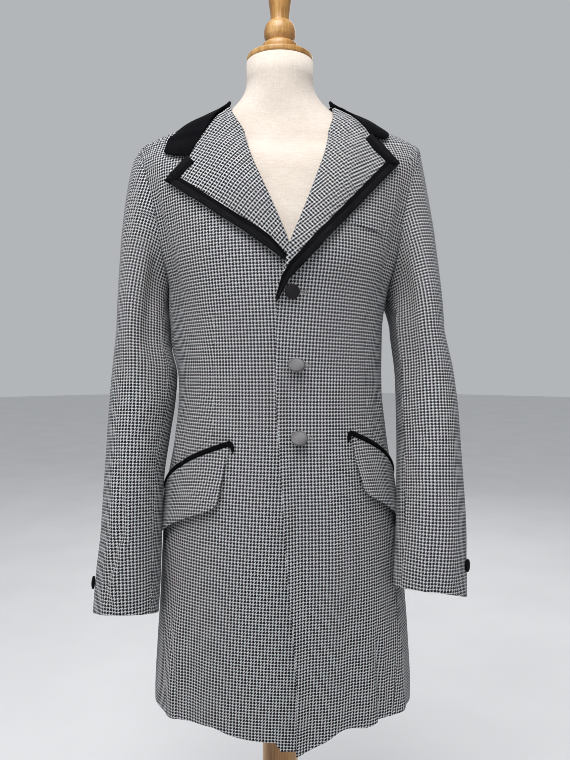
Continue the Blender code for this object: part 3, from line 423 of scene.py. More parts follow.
# Smaller creases of the sleeves: width, height and a path of (angle, z)
SLEEVE_RADIUS, SLEEVE_CREASES_FROM = 0.050, 0.3
SLEEVE_CREASES = {
    "left": [
        (0.008, 0.0024, [(112, 0.860), (109, 0.812), (107, 0.760), (106, 0.710)]),
        (0.008, -0.0020, [(96, 0.850), (94, 0.800), (93, 0.740)]),
        (0.011, -0.0018, [(84, 0.960), (78, 0.910), (80, 0.860)]),
        (0.012, 0.0018, [(62, 1.240), (72, 1.140), (78, 1.020)]),
        (0.009, -0.0024, [(132, 0.985), (114, 0.958), (98, 0.952)]),
        (0.010, 0.0018, [(136, 0.935), (118, 0.918), (102, 0.922)]),
        (0.014, -0.0016, [(20, 1.250), (26, 1.140), (28, 1.000)]),
        (0.015, -0.0070, [(112, 1.250), (124, 1.150), (128, 1.040)]),
        (0.007, 0.0035, [(150, 1.160), (150, 1.050), (150, 0.930)]),
    ],
    "right": [
        (
            0.0058, 0.0034,
            [
                (78, 0.970), (90, 0.931), (98, 0.899), (103, 0.862), (101, 0.838), (93, 0.826),
                (91, 0.808), (81, 0.787), (76, 0.771), (88, 0.753), (97, 0.730),
            ],
        ),
        (
            0.0065, -0.0046,
            [
                (64, 0.965), (76, 0.928), (84, 0.896), (89, 0.862), (87, 0.840), (79, 0.828),
                (77, 0.810), (67, 0.789), (62, 0.771), (74, 0.753), (83, 0.730),
            ],
        ),
        (0.009, 0.0018, [(56, 1.240), (76, 1.150), (85, 1.090), (88, 1.000)]),
        (0.009, -0.0018, [(72, 1.250), (90, 1.176), (102, 1.110), (106, 1.020)]),
        (0.009, -0.0020, [(132, 0.990), (114, 0.965), (98, 0.960)]),
        (0.014, -0.0016, [(24, 1.240), (30, 1.120), (30, 0.980)]),
        (0.016, -0.0090, [(112, 1.250), (124, 1.150), (128, 1.020)]),
        (0.0035, -0.0011, [(55, 1.210), (55, 1.000), (53, 0.780)]),
        (0.0040, 0.0012, [(84, 1.180), (86, 1.050), (88, 0.900)]),
    ],
}
SLEEVE_PUCKERS = dict(angles=(-60.0, 70.0), waves=13, height=0.0011, starts=0.03, reach=0.10)

# Grain of each piece: degrees that the checks turn from upright, seen from the front
GRAIN = {
    "front_left": 1.5, "lapel_left": -38.0, "lapel_right": 36.0,
    "flap_left": 3.0, "flap_right": -3.0, "breast_welt": 2.0,
}

# Finial, turned: radius and height from its foot, through the ball to the handle's rounded top
FINIAL = [
    (0.0262, 0.0000), (0.0265, 0.0100), (0.0256, 0.0145), (0.0222, 0.0172), (0.0188, 0.0186),
    (0.0205, 0.0216), (0.0228, 0.0270), (0.0231, 0.0330), (0.0215, 0.0408), (0.0180, 0.0462),
    (0.0138, 0.0490), (0.0137, 0.0542), (0.0150, 0.0662), (0.0168, 0.0815), (0.0180, 0.0970),
    (0.0172, 0.1085), (0.0135, 0.1162), (0.0070, 0.1200),
]
NECK_PLATE = [(0.0445, 0.0), (0.0480, 0.002), (0.0480, 0.007), (0.0440, 0.010), (0.0250, 0.0105)]
TURNED_SIDES, PLATE_STEPS, FINIAL_STEPS = 96, 24, 90


# The body's surface


def smoothstep(low, high, value):
    f = np.clip((np.asarray(value, float) - low) / (high - low), 0.0, 1.0)
    return f * f * (3 - 2 * f)


def unit(v):
    return v / np.maximum(np.linalg.norm(v, axis=-1, keepdims=True), 1e-12)


def body_face(turn, z):
    """The cloth's outside at an angle round the body, in radians from the centre front, and a height."""
    half, front, back, centre = BODY(z)
    s, c = np.sin(turn), np.cos(turn)
    power = np.where(c > 0, FRONT_POWER, BACK_POWER)
    depth = np.where(c > 0, front, back)
    x = half * np.sign(s) * np.abs(s) ** (2 / power)
    y = centre - np.sign(c) * depth * np.abs(c) ** (2 / power)
    return np.stack([x, y, z + 0 * turn], -1)


def body_normal(turn, z):
    d = NEARBY["body"]
    round_body = body_face(turn + d, z) - body_face(turn - d, z)
    up_body = body_face(turn, z + d) - body_face(turn, z - d)
    return unit(np.cross(round_body, up_body))


def body_folds(turn, z):
    lift = np.zeros(np.broadcast(turn, z).shape)
    half = BODY.one("half_width", z)
    for row in BODY_FOLDS:
        fold = dict(zip(FOLD_COLUMNS, row))
        f = (fold["z_top"] - z) / (fold["z_top"] - fold["z_low"])
        middle = np.radians(fold["turn_top"] + (fold["turn_low"] - fold["turn_top"]) * np.clip(f, 0, 1))
        across = np.exp(-(((turn - middle) * half / fold["width"]) ** 2))
        ends = smoothstep(0.0, FOLD_GROWS, f)
        if fold["z_low"] > HEM_Z:
            ends = ends * smoothstep(1.0, FOLD_FADES, f)
        lift = lift + fold["height"] * across * ends
    return lift


def crease_lift(across, along, path, width, height):
    """Lift of one crease about a bent path, full in its middle and running out at both ends."""
    nearest = np.full(across.shape, np.inf)
    share = np.zeros(across.shape)
    count = len(path) - 1
    for k in range(count):
        (x0, z0), (x1, z1) = path[k], path[k + 1]
        dx, dz = x1 - x0, z1 - z0
        f = np.clip(((across - x0) * dx + (along - z0) * dz) / (dx * dx + dz * dz), 0.0, 1.0)
        distance = np.hypot(across - x0 - f * dx, along - z0 - f * dz)
        closer = distance < nearest
        nearest = np.where(closer, distance, nearest)
        share = np.where(closer, (k + f) / count, share)
    return height * np.exp(-((nearest / width) ** 2)) * np.sin(np.pi * share) ** CREASE_ENDS


def body_creases(turn, z):
    across = turn * BODY.one("half_width", z)
    lift = np.zeros(np.broadcast(turn, z).shape)
    for width, height, path in BODY_CREASES:
        path = [(math.radians(t) * float(BODY.one("half_width", h)), h) for t, h in path]
        lift = lift + crease_lift(across, z + 0 * across, path, width, height)
    return lift


def body_point(turn, z, lift=0.0):
    """A point moved out from the body's cloth, folds and creases and all."""
    turn, z = np.broadcast_arrays(np.asarray(turn, float), np.asarray(z, float))
    moved = body_folds(turn, z) + body_creases(turn, z) + lift
    return body_face(turn, z) + body_normal(turn, z) * moved[..., None]


def hang(turn, z):
    """Heights with the hem's own rise and fall, which fades out up the skirt."""
    degrees = np.degrees(turn)
    dip = np.where(degrees > 0, HEM_DIP["left"].one("dip", degrees), HEM_DIP["right"].one("dip", -degrees))
    return z - dip * smoothstep(HEM_SETTLES_Z, HEM_Z, z)


def turn_at(x, z):
    """The angle round the front of the body whose point has this x."""
    share = np.clip(np.abs(x) / BODY.one("half_width", z), 0.0, 1.0)
    return np.sign(x) * np.arcsin(share ** (FRONT_POWER / 2))


def armhole_turn(angle):
    """Where an armhole angle lies round the body. The armhole is an oval in side view."""
    depth = np.where(np.sin(angle) > 0, ARMHOLE_FRONT, ARMHOLE_BACK)
    y = ARMHOLE_Y - depth * np.sin(angle)
    z = ARMHOLE_Z + ARMHOLE_HALF_HEIGHT * np.cos(angle)
    _, front, back, centre = BODY(z)
    ahead = y < centre
    share = np.abs(y - centre) / np.where(ahead, front, back)
    power = np.where(ahead, FRONT_POWER, BACK_POWER)
    turn = np.arccos(np.clip(share, 0, 1) ** (power / 2))
    return np.where(ahead, turn, np.pi - turn), z


def left_lift(turn, z):
    """The left front lies over the right one, and more so where it covers the right lapel's foot."""
    from_edge = body_face(turn, z)[..., 0] - LEFT_EDGE.one("x", z)
    near = 1 - smoothstep(OVERLAP_FLAT, OVERLAP_REACH, from_edge)
    crossing = np.exp(-(((z - CROSSING_Z) / CROSSING_REACH) ** 2))
    overlap = near * (OVERLAP_LIFT + CROSSING_LIFT * crossing) * smoothstep(*OVERLAP_FADES, z)
    curl = np.exp(-((from_edge / EDGE_CURL["reach"]) ** 2)) * smoothstep(*EDGE_CURL["grows"], z)
    return overlap + EDGE_CURL["height"] * curl


def front_lift(side, turn, z):
    return left_lift(turn, z) if side == "left" else np.zeros(np.broadcast(turn, z).shape)


# Cloth: shells, edges and grain


def grid_normal(grid, outward):
    """Normals of a grid of points, turned to the side that the outward grid points to."""
    normal = unit(np.cross(np.gradient(grid, axis=1), np.gradient(grid, axis=0)))
    r, c = grid.shape[0] // 2, grid.shape[1] // 2
    return normal if np.dot(normal[r, c], outward[r, c]) > 0 else -normal


def edge_drop(grid, thick, edges):
    """How far a shell's faces draw in at its edges: low row, high row, first and last column."""
    from_low, from_first = run_length(grid, 0), run_length(grid, 1)
    distances = (from_low, from_low[-1:] - from_low, from_first, from_first[:, -1:] - from_first)
    drop = np.zeros(grid.shape[:2])
    for distance, edge in zip(distances, edges):
        f = np.clip(1 - distance / edge["reach"], 0, 1)
        drop = np.maximum(drop, edge["depth"] * thick / 2 * (1 - np.sqrt(1 - f * f)))
    return drop


def relax(points, flat, rounds):
    """Moves a flat grid's points until its edges and diagonals have the lengths that they have in space."""
    whole, first, last = slice(None), slice(None, -1), slice(1, None)
    links = [
        ((whole, first), (whole, last)),
        ((first, whole), (last, whole)),
        ((first, first), (last, last)),
        ((first, last), (last, first)),
    ]
    lengths = [np.linalg.norm(points[b] - points[a], axis=-1, keepdims=True) for a, b in links]
    for _ in range(rounds):
        move = np.zeros(flat.shape)
        for (a, b), length in zip(links, lengths):
            gap = flat[b] - flat[a]
            pull = gap * (1 - length / np.linalg.norm(gap, axis=-1, keepdims=True)) / 2
            move[a] += pull
            move[b] -= pull
        flat = flat + move / len(links)
    return flat


def run_length(grid, axis):
    """Length along a grid's lines from their first points."""
    steps = np.linalg.norm(np.diff(grid, axis=axis), axis=-1)
    start = np.zeros_like(steps.take([0], axis))
    return np.concatenate([start, np.cumsum(steps, axis=axis)], axis=axis)


def spread(values, kept, length):
    """Values at a few kept places of some lines, drawn out to all the places by length along each line."""
    made = np.zeros((length.shape[0], length.shape[1], 2))
    for line, places in enumerate(length):
        for k in (0, 1):
            made[line, :, k] = np.interp(places, places[kept], values[line, :, k])
    return made


def flatten(grid):
    """A piece's pattern: a few of its points are laid flat, then drawn out to all and settled."""
    rows = np.unique(np.linspace(0, grid.shape[0] - 1, PATTERN_ROWS).astype(int))
    columns = np.unique(np.linspace(0, grid.shape[1] - 1, PATTERN_COLUMNS).astype(int))
    points = grid[np.ix_(rows, columns)]
    middle = len(columns) // 2
    across = run_length(points, 1)
    up = np.repeat(run_length(points, 0)[:, middle : middle + 1], len(columns), 1)
    flat = relax(points, np.stack([across - across[:, middle : middle + 1], up], -1), PATTERN_ROUNDS)
    length = run_length(grid[:, columns], 0).T
    flat = spread(flat.swapaxes(0, 1), rows, length).swapaxes(0, 1)
    flat = spread(flat, columns, run_length(grid, 1))
    return relax(grid, flat, SETTLE_ROUNDS)


def lay_grain(flat, upright, lean):
    """A flat pattern turned so that its grain follows the upright coordinates, but for a lean."""
    a = flat - flat.mean((0, 1))
    b = upright - upright.mean((0, 1))
    hands = [cross(np.gradient(g, axis=0), np.gradient(g, axis=1)).mean() for g in (a, b)]
    if hands[0] * hands[1] < 0:
        a = a * (-1, 1)
    turn = math.atan2(cross(a, b).sum(), (a * b).sum()) + math.radians(lean)
    c, s = math.cos(turn), math.sin(turn)
    return np.stack([c * a[..., 0] - s * a[..., 1], s * a[..., 0] + c * a[..., 1]], -1)


def corners(values):
    """Values at the four corners of each cell of a grid."""
    return np.stack([values[:-1, :-1], values[:-1, 1:], values[1:, 1:], values[1:, :-1]], 2)


def grid_uv(down, across):
    """Grain coordinates of a grid from lengths down it and across it."""
    return np.stack(np.broadcast_arrays(down[:, None], across[None, :]), -1)


def make_mesh(name, points, faces, uvs, finish):
    mesh = bpy.data.meshes.new(name)
    mesh.from_pydata(points, [], faces)
    layer = mesh.uv_layers.new(name="grain")
    layer.data.foreach_set("uv", np.asarray(uvs, np.float32).ravel())
    mesh.materials.append(finish)
    mesh.shade_smooth()
    made = bpy.data.objects.new(name, mesh)
    bpy.context.scene.collection.objects.link(made)
    return made


def shell(name, outer, outward, thick, edges, uv_corners, finish):
    """A thin closed shell under a grid of outside points, with its edges turned in."""
    normal = grid_normal(outer, outward)
    drop = edge_drop(outer, thick, edges)[..., None]
    face, back = outer - normal * drop, outer - normal * (thick - drop)
    rows, columns = outer.shape[:2]
    count = rows * columns
    at = np.arange(count).reshape(rows, columns)
    quads = corners(at).reshape(-1, 4)
    rim = np.concatenate([at[0, :-1], at[:-1, -1], at[-1, :0:-1], at[:0:-1, 0]])
    ahead = np.roll(rim, -1)
    sides = np.stack([rim, rim + count, ahead + count, ahead], 1)
    vertex_uv = np.zeros((count, 2))
    vertex_uv[quads.ravel()] = uv_corners.reshape(-1, 2)
    faces = np.concatenate([quads, quads[:, ::-1] + count, sides])
    uvs = [uv_corners.reshape(-1, 4, 2), uv_corners.reshape(-1, 4, 2)[:, ::-1], vertex_uv[sides % count]]
    r, c = rows // 2, columns // 2
    facing = np.cross(face[r, c] - face[r, c - 1], face[r, c] - face[r - 1, c])
    uvs = np.concatenate(uvs)
    if np.dot(facing, normal[r, c]) < 0:
        faces, uvs = faces[:, ::-1], uvs[:, ::-1]
    points = np.concatenate([face.reshape(-1, 3), back.reshape(-1, 3)])
    return make_mesh(name, points, faces, uvs, finish)


PIECES, SHEETS = {}, {}


def keep(made, node):
    """A piece rides on the only body and stands for its CAD node."""
    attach(made, "root")
    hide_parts(node)
    PIECES[node] = made
    return made


def cross(a, b):
    return a[..., 0] * b[..., 1] - a[..., 1] * b[..., 0]


def note_sheet(node, flat):
    """Keeps a piece's flat width and length and the area of its whole cut."""
    width, length = np.ptp(flat.reshape(-1, 2), axis=0)
    cells = corners(flat)
    area = cross(cells[:, :, 2] - cells[:, :, 0], cells[:, :, 3] - cells[:, :, 1]).sum() / 2
    SHEETS[node] = (float(width), float(length), abs(float(area)))


def cloth_piece(node, outer, outward, upright, edges, shift=None):
    """A houndstooth piece with its own grain. Shift moves the checks' corners, as a dart does."""
    flat = lay_grain(flatten(outer), upright, GRAIN.get(node, 0.0))
    uv = corners(flat)
    if shift is not None:
        uv = uv + shift
    made = shell(node + "_cloth", outer, outward, CLOTH, edges, uv, FINISHES["houndstooth"])
    note_sheet(node, flat)
    return keep(made, node)


def trim(node, kind, outer, outward, thick, edges, uv, finish):
    """A shell of another stuff than the houndstooth."""
    made = shell(f"{node}_{kind}", outer, outward, thick, edges, corners(uv), FINISHES[finish])
    keep(made, node)


def rim_shares(count):
    """Shares across a panel with close steps at both edges."""
    inner = np.linspace(RIM[-1], 1 - RIM[-1], count)
    return np.concatenate([RIM[:-1], inner, 1 - np.array(RIM[-2::-1])])


# The jacket's body


def body_rows():
    """Heights up a panel: hem, skirt, armhole and shoulder, and the armhole angles among them."""
    arm = np.linspace(CORNER_ANGLE, 0.0, ARMHOLE_STEPS)
    arm_z = ARMHOLE_Z + ARMHOLE_HALF_HEIGHT * np.cos(arm)
    hem = HEM_Z + np.array(HEM_RIM)
    skirt = np.concatenate([hem, np.linspace(hem[-1], arm_z[0], SKIRT_STEPS)[1:-1]])
    shoulder = np.linspace(arm_z[-1], NECK_SEAM_Z - NECK_SEAM_GAP, SHOULDER_STEPS)[1:]
    return skirt, arm, np.concatenate([skirt, arm_z, shoulder])


def side_edge(seam, arm_sign):
    """How far round a panel reaches in each row: its side seam, the armhole, then the shoulder seam."""
    skirt, arm, rows = body_rows()
    armhole = armhole_turn(arm_sign * arm)[0]
    armhole[-1] = math.pi / 2
    shoulder = np.full(len(rows) - len(skirt) - len(arm), math.pi / 2)
    return rows, np.concatenate([np.radians(seam.one("turn", skirt)), armhole, shoulder])


def upright_of(turn, z):
    return np.stack([turn * BODY.one("half_width", z), z], -1)


def body_panel(node, turn, level, edges, lift=None, shift=None):
    z = hang(turn, level + 0 * turn)
    outer = body_point(turn, z, lift(turn, z) if lift else 0.0)
    cloth_piece(node, outer, body_normal(turn, z), upright_of(turn, z), edges, shift)


def dart_turn(side, rows):
    """The dart's line carried on up and down the front, so that a column of the grid follows it."""
    path = DARTS[side]["path"]
    guide = Profile(("z", "turn"), path[::-1])
    return np.radians(guide.one("turn", rows))


def dart_width(side, rows):
    path = DARTS[side]["path"]
    f = np.clip((rows - path[-1][0]) / (path[0][0] - path[-1][0]), 0, 1)
    return DARTS[side]["intake"] * np.sin(np.pi * f) ** 2


def inner_edge(side, rows):
    """x of a front's free edge. Below the lapels the right front runs on under the left one."""
    left = LEFT_EDGE.one("x", rows)
    if side == "left":
        return left
    return np.where(rows < RIGHT_ROLL.places[0], left + OVERLAP, RIGHT_ROLL.one("x", rows))


def front_turns(inner, outer, dart):
    """Turns over a front from its free edge to its side seam, and the column that follows the dart."""
    shares = rim_shares(FRONT_COLUMNS)
    dart_at = int(np.argmin(np.abs(shares - DART_SHARE)))
    shares[dart_at] = DART_SHARE
    near, far = shares / DART_SHARE, (shares - DART_SHARE) / (1 - DART_SHARE)
    turn = np.where(
        shares < DART_SHARE,
        inner[:, None] + (dart - inner)[:, None] * near,
        dart[:, None] + (outer - dart)[:, None] * far,
    )
    return turn, dart_at


def front(side):
    """A front, whose checks jump across its waist dart."""
    rows, outer = side_edge(FRONT_SEAM, 1.0)
    outer = SIGN[side] * (outer - SEAM_TURN)
    inner = turn_at(inner_edge(side, rows), rows)
    low, high = np.minimum(inner, outer), np.maximum(inner, outer)
    margin = DART_MARGIN * (high - low)
    dart = np.clip(dart_turn(side, rows), low + margin, high - margin)
    turn, dart_at = front_turns(inner, outer, dart)
    width = dart_width(side, rows)
    shift = np.zeros((turn.shape[0] - 1, turn.shape[1] - 1, 4, 2))
    shift[:, dart_at:, :2, 0] = SIGN[side] * width[:-1, None, None]
    shift[:, dart_at:, 2:, 0] = SIGN[side] * width[1:, None, None]

    def lift(turn, z):
        away = (turn - dart[:, None]) * BODY.one("half_width", z)
        groove = np.exp(-((away / DART_REACH) ** 2)) * (width / DARTS[side]["intake"])[:, None]
        return front_lift(side, turn, z) - DART_GROOVE * groove

    edges = (FREE_EDGE, SEWN_EDGE, FREE_EDGE, SEWN_EDGE)
    body_panel(f"front_{side}", turn, rows[:, None], edges, lift, shift)


def backs():
    rows, outer = side_edge(BACK_SEAM, -1.0)
    shares = rim_shares(BACK_COLUMNS)
    for side, sign in SIGN.items():
        start, end = sign * (outer + SEAM_TURN), np.full(len(rows), sign * (math.pi - SEAM_TURN))
        turn = start[:, None] + (end - start)[:, None] * shares
        body_panel(f"back_{side}", turn, rows[:, None], HEMMED)


def sides():
    """Panels under the arms: their top edges follow the armhole's lowest arc."""
    arc = np.linspace(CORNER_ANGLE, 2 * math.pi - CORNER_ANGLE, SIDE_COLUMNS)
    arc = np.concatenate([arc[:1], arc[:1] + SIDE_RIM, arc[1:-1], arc[-1:] - SIDE_RIM, arc[-1:]])
    top_turn, top_z = armhole_turn(np.where(arc > np.pi, arc - 2 * np.pi, arc))
    hem = HEM_Z + np.array(HEM_RIM)
    heights = np.concatenate([hem, np.linspace(hem[-1], top_z[0], SKIRT_STEPS)[1:]])
    rise = ((heights - HEM_Z) / (top_z[0] - HEM_Z))[:, None]
    level = HEM_Z + rise * (top_z - SEAM_GAP / 2 - HEM_Z)[None, :]
    start = np.radians(FRONT_SEAM.one("turn", heights))
    end = np.radians(BACK_SEAM.one("turn", heights))
    share = (top_turn - top_turn[0]) / (top_turn[-1] - top_turn[0])
    turn = (start + SEAM_TURN)[:, None] + (end - start - 2 * SEAM_TURN)[:, None] * share
    for side, sign in SIGN.items():
        body_panel(f"side_{side}", sign * turn, level, HEMMED)


# Lapels, braid and collar


def lapel_grid(side, up, across):
    """x and z over a lapel at shares from its foot up and from its roll line out."""
    corner = {k: np.array(v) for k, v in LAPELS[side].items()}
    z = corner["foot"][1] + (corner["gorge"][1] - corner["foot"][1]) * up
    inner = np.stack([ROLL_LINES[side].one("x", z), z], -1)[:, None, :]
    knots = (0.0, LAPEL_LOW_SHARE, 1.0)
    path = np.array([corner["foot"], corner["low"], corner["tip"]])
    outer = np.stack([np.interp(up, knots, path[:, k]) for k in (0, 1)], -1)[:, None, :]
    knots = (0.0, LAPEL_SPLIT, 1.0)
    path = np.array([inner[-1, 0], corner["notch"], corner["tip"]])
    top = np.stack([np.interp(across, knots, path[:, k]) for k in (0, 1)], -1)
    up, across = up[:, None, None], across[None, :, None]
    foot = inner[0] + (corner["foot"] - inner[0]) * across
    four = (1 - across) * (1 - up) * inner[0] + across * (1 - up) * corner["foot"]
    four = four + (1 - across) * up * inner[-1] + across * up * corner["tip"]
    grid = (1 - across) * inner + across * outer + (1 - up) * foot + up * top - four
    return grid[..., 0], grid[..., 1]


def lapel_lift(side, turn, z):
    """A lapel rolls softly out of its fold, then lies on the front."""
    x = body_face(turn, z)[..., 0]
    away = np.abs(x - ROLL_LINES[side].one("x", z)) / LAPEL_ROLL_REACH
    rolled = LAPEL_ROLL * np.sin(np.pi * np.clip(away, 0, 1)) * smoothstep(*LAPEL_ROLL_GROWS, z)
    span = LAPEL_BRIDGE["lift"] * np.exp(-(((z - LAPEL_BRIDGE["z"]) / LAPEL_BRIDGE["reach"]) ** 2))
    return front_lift(side, turn, z) + LAPEL_LIFT + rolled + span


def lapel(side):
    """A lapel whose roll turns round and goes down into the front's edge."""
    x, z = lapel_grid(side, rim_shares(LAPEL_ROWS), rim_shares(LAPEL_COLUMNS)[len(RIM) - 1 :])
    turn = turn_at(x, z)
    lift = lapel_lift(side, turn, z)
    normal = body_normal(turn, z)
    below = lift[:, :1] - front_lift(side, turn[:, :1], z[:, :1])
    outer = rolled(body_point(turn, z, lift), normal, below)
    edges = (FREE_EDGE, FREE_EDGE, SEWN_EDGE, FREE_EDGE)
    cloth_piece(f"lapel_{side}", outer, led_in(normal), led_in(np.stack([x, z], -1)), edges)


def braid_path(side):
    """The lapel's outer edge from foot to tip, then to the notch, with directions into the lapel."""
    corner = {k: np.array(v) for k, v in LAPELS[side].items()}
    x, z = lapel_grid(side, np.linspace(0, 1, LAPEL_ROWS), np.array([0.0, 1.0]))
    edge = np.stack([x[:, -1], z[:, -1]], -1)
    shares = np.linspace(0, BRAID_STOPS, BRAID_TIP_ROWS)[1:, None]
    path = np.concatenate([edge, corner["tip"] + (corner["notch"] - corner["tip"]) * shares])
    ahead = unit(np.diff(path, axis=0))
    inward = np.stack([-ahead[:, 1], ahead[:, 0]], -1) * SIGN[side]
    before, after = np.concatenate([inward[:1], inward]), np.concatenate([inward, inward[-1:]])
    mitre = before + after
    return path, mitre / np.maximum((mitre * before).sum(-1, keepdims=True), BRAID_MITRE_LEAST)


BRAID_SECTION = Profile(
    ("share", "height"),
    [
        (0.00, 0.30), (0.06, 0.85), (0.20, 1.00), (0.44, 0.95), (0.56, 0.80),
        (0.62, 0.42), (0.70, 0.50), (0.88, 0.46), (1.00, 0.15),
    ],
)
BRAID_SHARES = np.linspace(0, 1, BRAID_COLUMNS)


def braid(side):
    """Ribbed braid bound over the lapel's edge: two rolls with a groove between them, mitred at the tip."""
    path, mitre = braid_path(side)
    length = run_length(path, 0)
    width = BRAID_WIDTH * np.minimum(1.0, BRAID_FOOT_SHARE + (1 - BRAID_FOOT_SHARE) * length / BRAID_GROWS)
    strip = path[:, None, :] + mitre[:, None, :] * (width[:, None] * BRAID_SHARES)[..., None]
    x, z = strip[..., 0], strip[..., 1]
    turn = turn_at(x, z)
    height = BRAID_THICK * BRAID_SECTION.one("height", BRAID_SHARES)
    outer = body_point(turn, z, lapel_lift(side, turn, z) + BRAID_CLEAR + height)
    uv = grid_uv(length, BRAID_WIDTH * BRAID_SHARES)
    trim(f"braid_{side}", "rib", outer, body_normal(turn, z), BRAID_CLEAR, SEWN_ROUND, uv, "braid")


def led_in(grid):
    """A grid with its first column repeated before it, once for each step of a roll."""
    return np.concatenate([np.repeat(grid[:, :1], LAPEL_TURN_STEPS, 1), grid], axis=1)


def rolled(face, normal, below):
    """A grid with columns before it that turn its first one over and down, in a half circle below deep."""
    edge, inner, normal = face[:, :1], face[:, len(RIM) - 1 : len(RIM)], normal[:, :1]
    out = unit(edge - inner)
    out = unit(out - normal * (out * normal).sum(-1, keepdims=True))
    bend = np.linspace(math.pi, 0, LAPEL_TURN_STEPS, endpoint=False)[None, :, None]
    half = below[..., None] / 2
    roll = edge - normal * half + half * (normal * np.cos(bend) + out * np.sin(bend))
    return np.concatenate([roll, face], axis=1)


def collar_guide(side):
    """The collar's table, with the gorge seam along the lapel's top edge as its first inner edge."""
    notch, gorge = np.array(LAPELS[side]["notch"]), np.array(LAPELS[side]["gorge"])
    rows = []
    for along, turn, z, lift in COLLAR_FRONTS[side]:
        x, seam_z = notch + (gorge - notch) * along / COLLAR_FRONTS[side][-1][0]
        x, seam_z = abs(x) - GORGE_LAP, seam_z - GORGE_LAP
        seam_turn = turn_at(x, seam_z)
        seam_lift = lapel_lift(side, SIGN[side] * seam_turn, seam_z) + GORGE_LIFT
        rows.append((along, turn, z, lift, math.degrees(seam_turn), seam_z, float(seam_lift)))
    return Profile(COLLAR_COLUMNS, rows + COLLAR_BACK)


def collar_fall(side, shares):
    """Half of the velvet fall, from its notch to the centre back, and its directions outward."""
    along = np.linspace(0, 1, COLLAR_ROWS) ** COLLAR_CROWD
    o_turn, o_z, o_lift, i_turn, i_z, i_lift = (column[:, None] for column in collar_guide(side)(along))
    turn = SIGN[side] * np.radians(i_turn + (o_turn - i_turn) * shares)
    z = i_z + (o_z - i_z) * shares
    lift = i_lift + (o_lift - i_lift) * shares
    normal = body_normal(turn, z)
    below = VELVET / 2 + (lift[:, :1] - VELVET / 2) * smoothstep(*COLLAR_FOLDS, along)[:, None]
    return rolled(body_point(turn, z, lift), normal, below), led_in(normal)


def collar_stand(side, shares):
    """Half of the stand inside the collar's fold."""
    guide = collar_guide(side)
    along = np.linspace(STAND_FROM, 1, COLLAR_ROWS)[:, None]
    rise = np.maximum(guide.one("inner_z", along) - STAND_CLEAR - NECK_SEAM_Z, STAND_CLEAR / 2)
    z = NECK_SEAM_Z + rise * shares
    turn = SIGN[side] * np.radians(guide.one("inner_turn", along)) + 0 * z
    return body_point(turn, z), body_normal(turn, z)


def collar():
    """The velvet fall and stand, each of two halves joined at the centre back."""
    shares = rim_shares(COLLAR_STEPS)
    for node, half in (("collar", collar_fall), ("collar_stand", collar_stand)):
        left, right = half("left", shares), half("right", shares)
        outer, outward = (np.concatenate([left[k], right[k][-2::-1]]) for k in (0, 1))
        flat = flatten(outer)
        trim(node, "velvet", outer, outward, VELVET, FREE_ROUND, flat, "velvet")
        note_sheet(node, flat)


# Pockets


def flap_edge(side, name, across):
    corner = FLAPS[side]
    first, last = corner["front_" + name], corner["back_" + name]
    arch = FLAP_ARCH * np.sin(np.pi * across)
    return first[0] + (last[0] - first[0]) * across, first[1] + (last[1] - first[1]) * across + arch


def flap(side):
    across, down = rim_shares(FLAP_COLUMNS)[None, :], rim_shares(FLAP_ROWS)[:, None]
    top_turn, top_z = flap_edge(side, "top", across)
    low_turn, low_z = flap_edge(side, "low", across)
    f = np.clip(1 - across / FLAP_CORNER["across"], 0, 1)
    low_z = low_z + FLAP_CORNER["rise"] * (1 - np.sqrt(1 - f * f))
    turn = np.radians(top_turn + (low_turn - top_turn) * down)
    z = top_z + (low_z - top_z) * down
    outer = body_point(turn, z, front_lift(side, turn, z) + FLAP_LIFT + FLAP_SPRING * down**2)
    edges = (SEWN_EDGE, FREE_EDGE, FREE_EDGE, SEWN_EDGE)
    cloth_piece(f"flap_{side}", outer, body_normal(turn, z), upright_of(turn, z), edges)


def piping(side):
    """A velvet cord over the flap, which hooks round the flap's front corner."""
    hook = PIPING_HOOK
    turn, z = flap_edge(side, "top", np.linspace(1, 0, FLAP_COLUMNS))
    path = np.stack([np.radians(turn) * BODY.one("half_width", z), z + PIPING_HALF], -1)
    bend = np.linspace(0, 1, hook["steps"])[1:]
    out = hook["out"] * np.sin(np.pi * np.minimum(bend * hook["curl"], 0.5))
    hook_x = path[-1, 0] - SIGN[side] * out
    hook_z = path[-1, 1] - hook["down"] * bend ** hook["quickens"]
    path = np.concatenate([path, np.stack([hook_x, hook_z], -1)])
    ahead = unit(np.gradient(path, axis=0))
    aside = np.stack([-ahead[:, 1], ahead[:, 0]], -1)
    taper = np.ones((len(path), 1))
    taper[-len(bend) :, 0] = 1 - hook["thins"] * bend**2
    ring = np.linspace(0, math.pi, PIPING_SIDES)
    flat = path[:, None, :] + aside[:, None, :] * (PIPING_HALF * taper * np.cos(ring))[..., None]
    z = flat[..., 1]
    turn = flat[..., 0] / BODY.one("half_width", z)
    height = PIPING_CLEAR + PIPING_THICK * np.sin(ring) * taper
    outer = body_point(turn, z, front_lift(side, turn, z) + height)
    normal = body_normal(turn, z)
    trim(f"piping_{side}", "cord", outer, normal, PIPING_CLEAR / 2, SEWN_ROUND, flat, "velvet")


def breast_welt():
    welt = BREAST_WELT
    x = welt["x_from"] + (welt["x_to"] - welt["x_from"]) * rim_shares(WELT_COLUMNS)[None, :]
    z = welt["z"] + welt["height"] * rim_shares(WELT_ROWS)[:, None] + welt["slant"] * (x - welt["x_from"])
    turn = turn_at(x + 0 * z, z)
    outer = body_point(turn, z, left_lift(turn, z) + welt["off"])
    edges = (SEWN_EDGE, FREE_EDGE, SEWN_EDGE, SEWN_EDGE)
    cloth_piece("breast_welt", outer, body_normal(turn, z), upright_of(turn, z), edges)


# Turned pieces: buttons, finial and neck plate


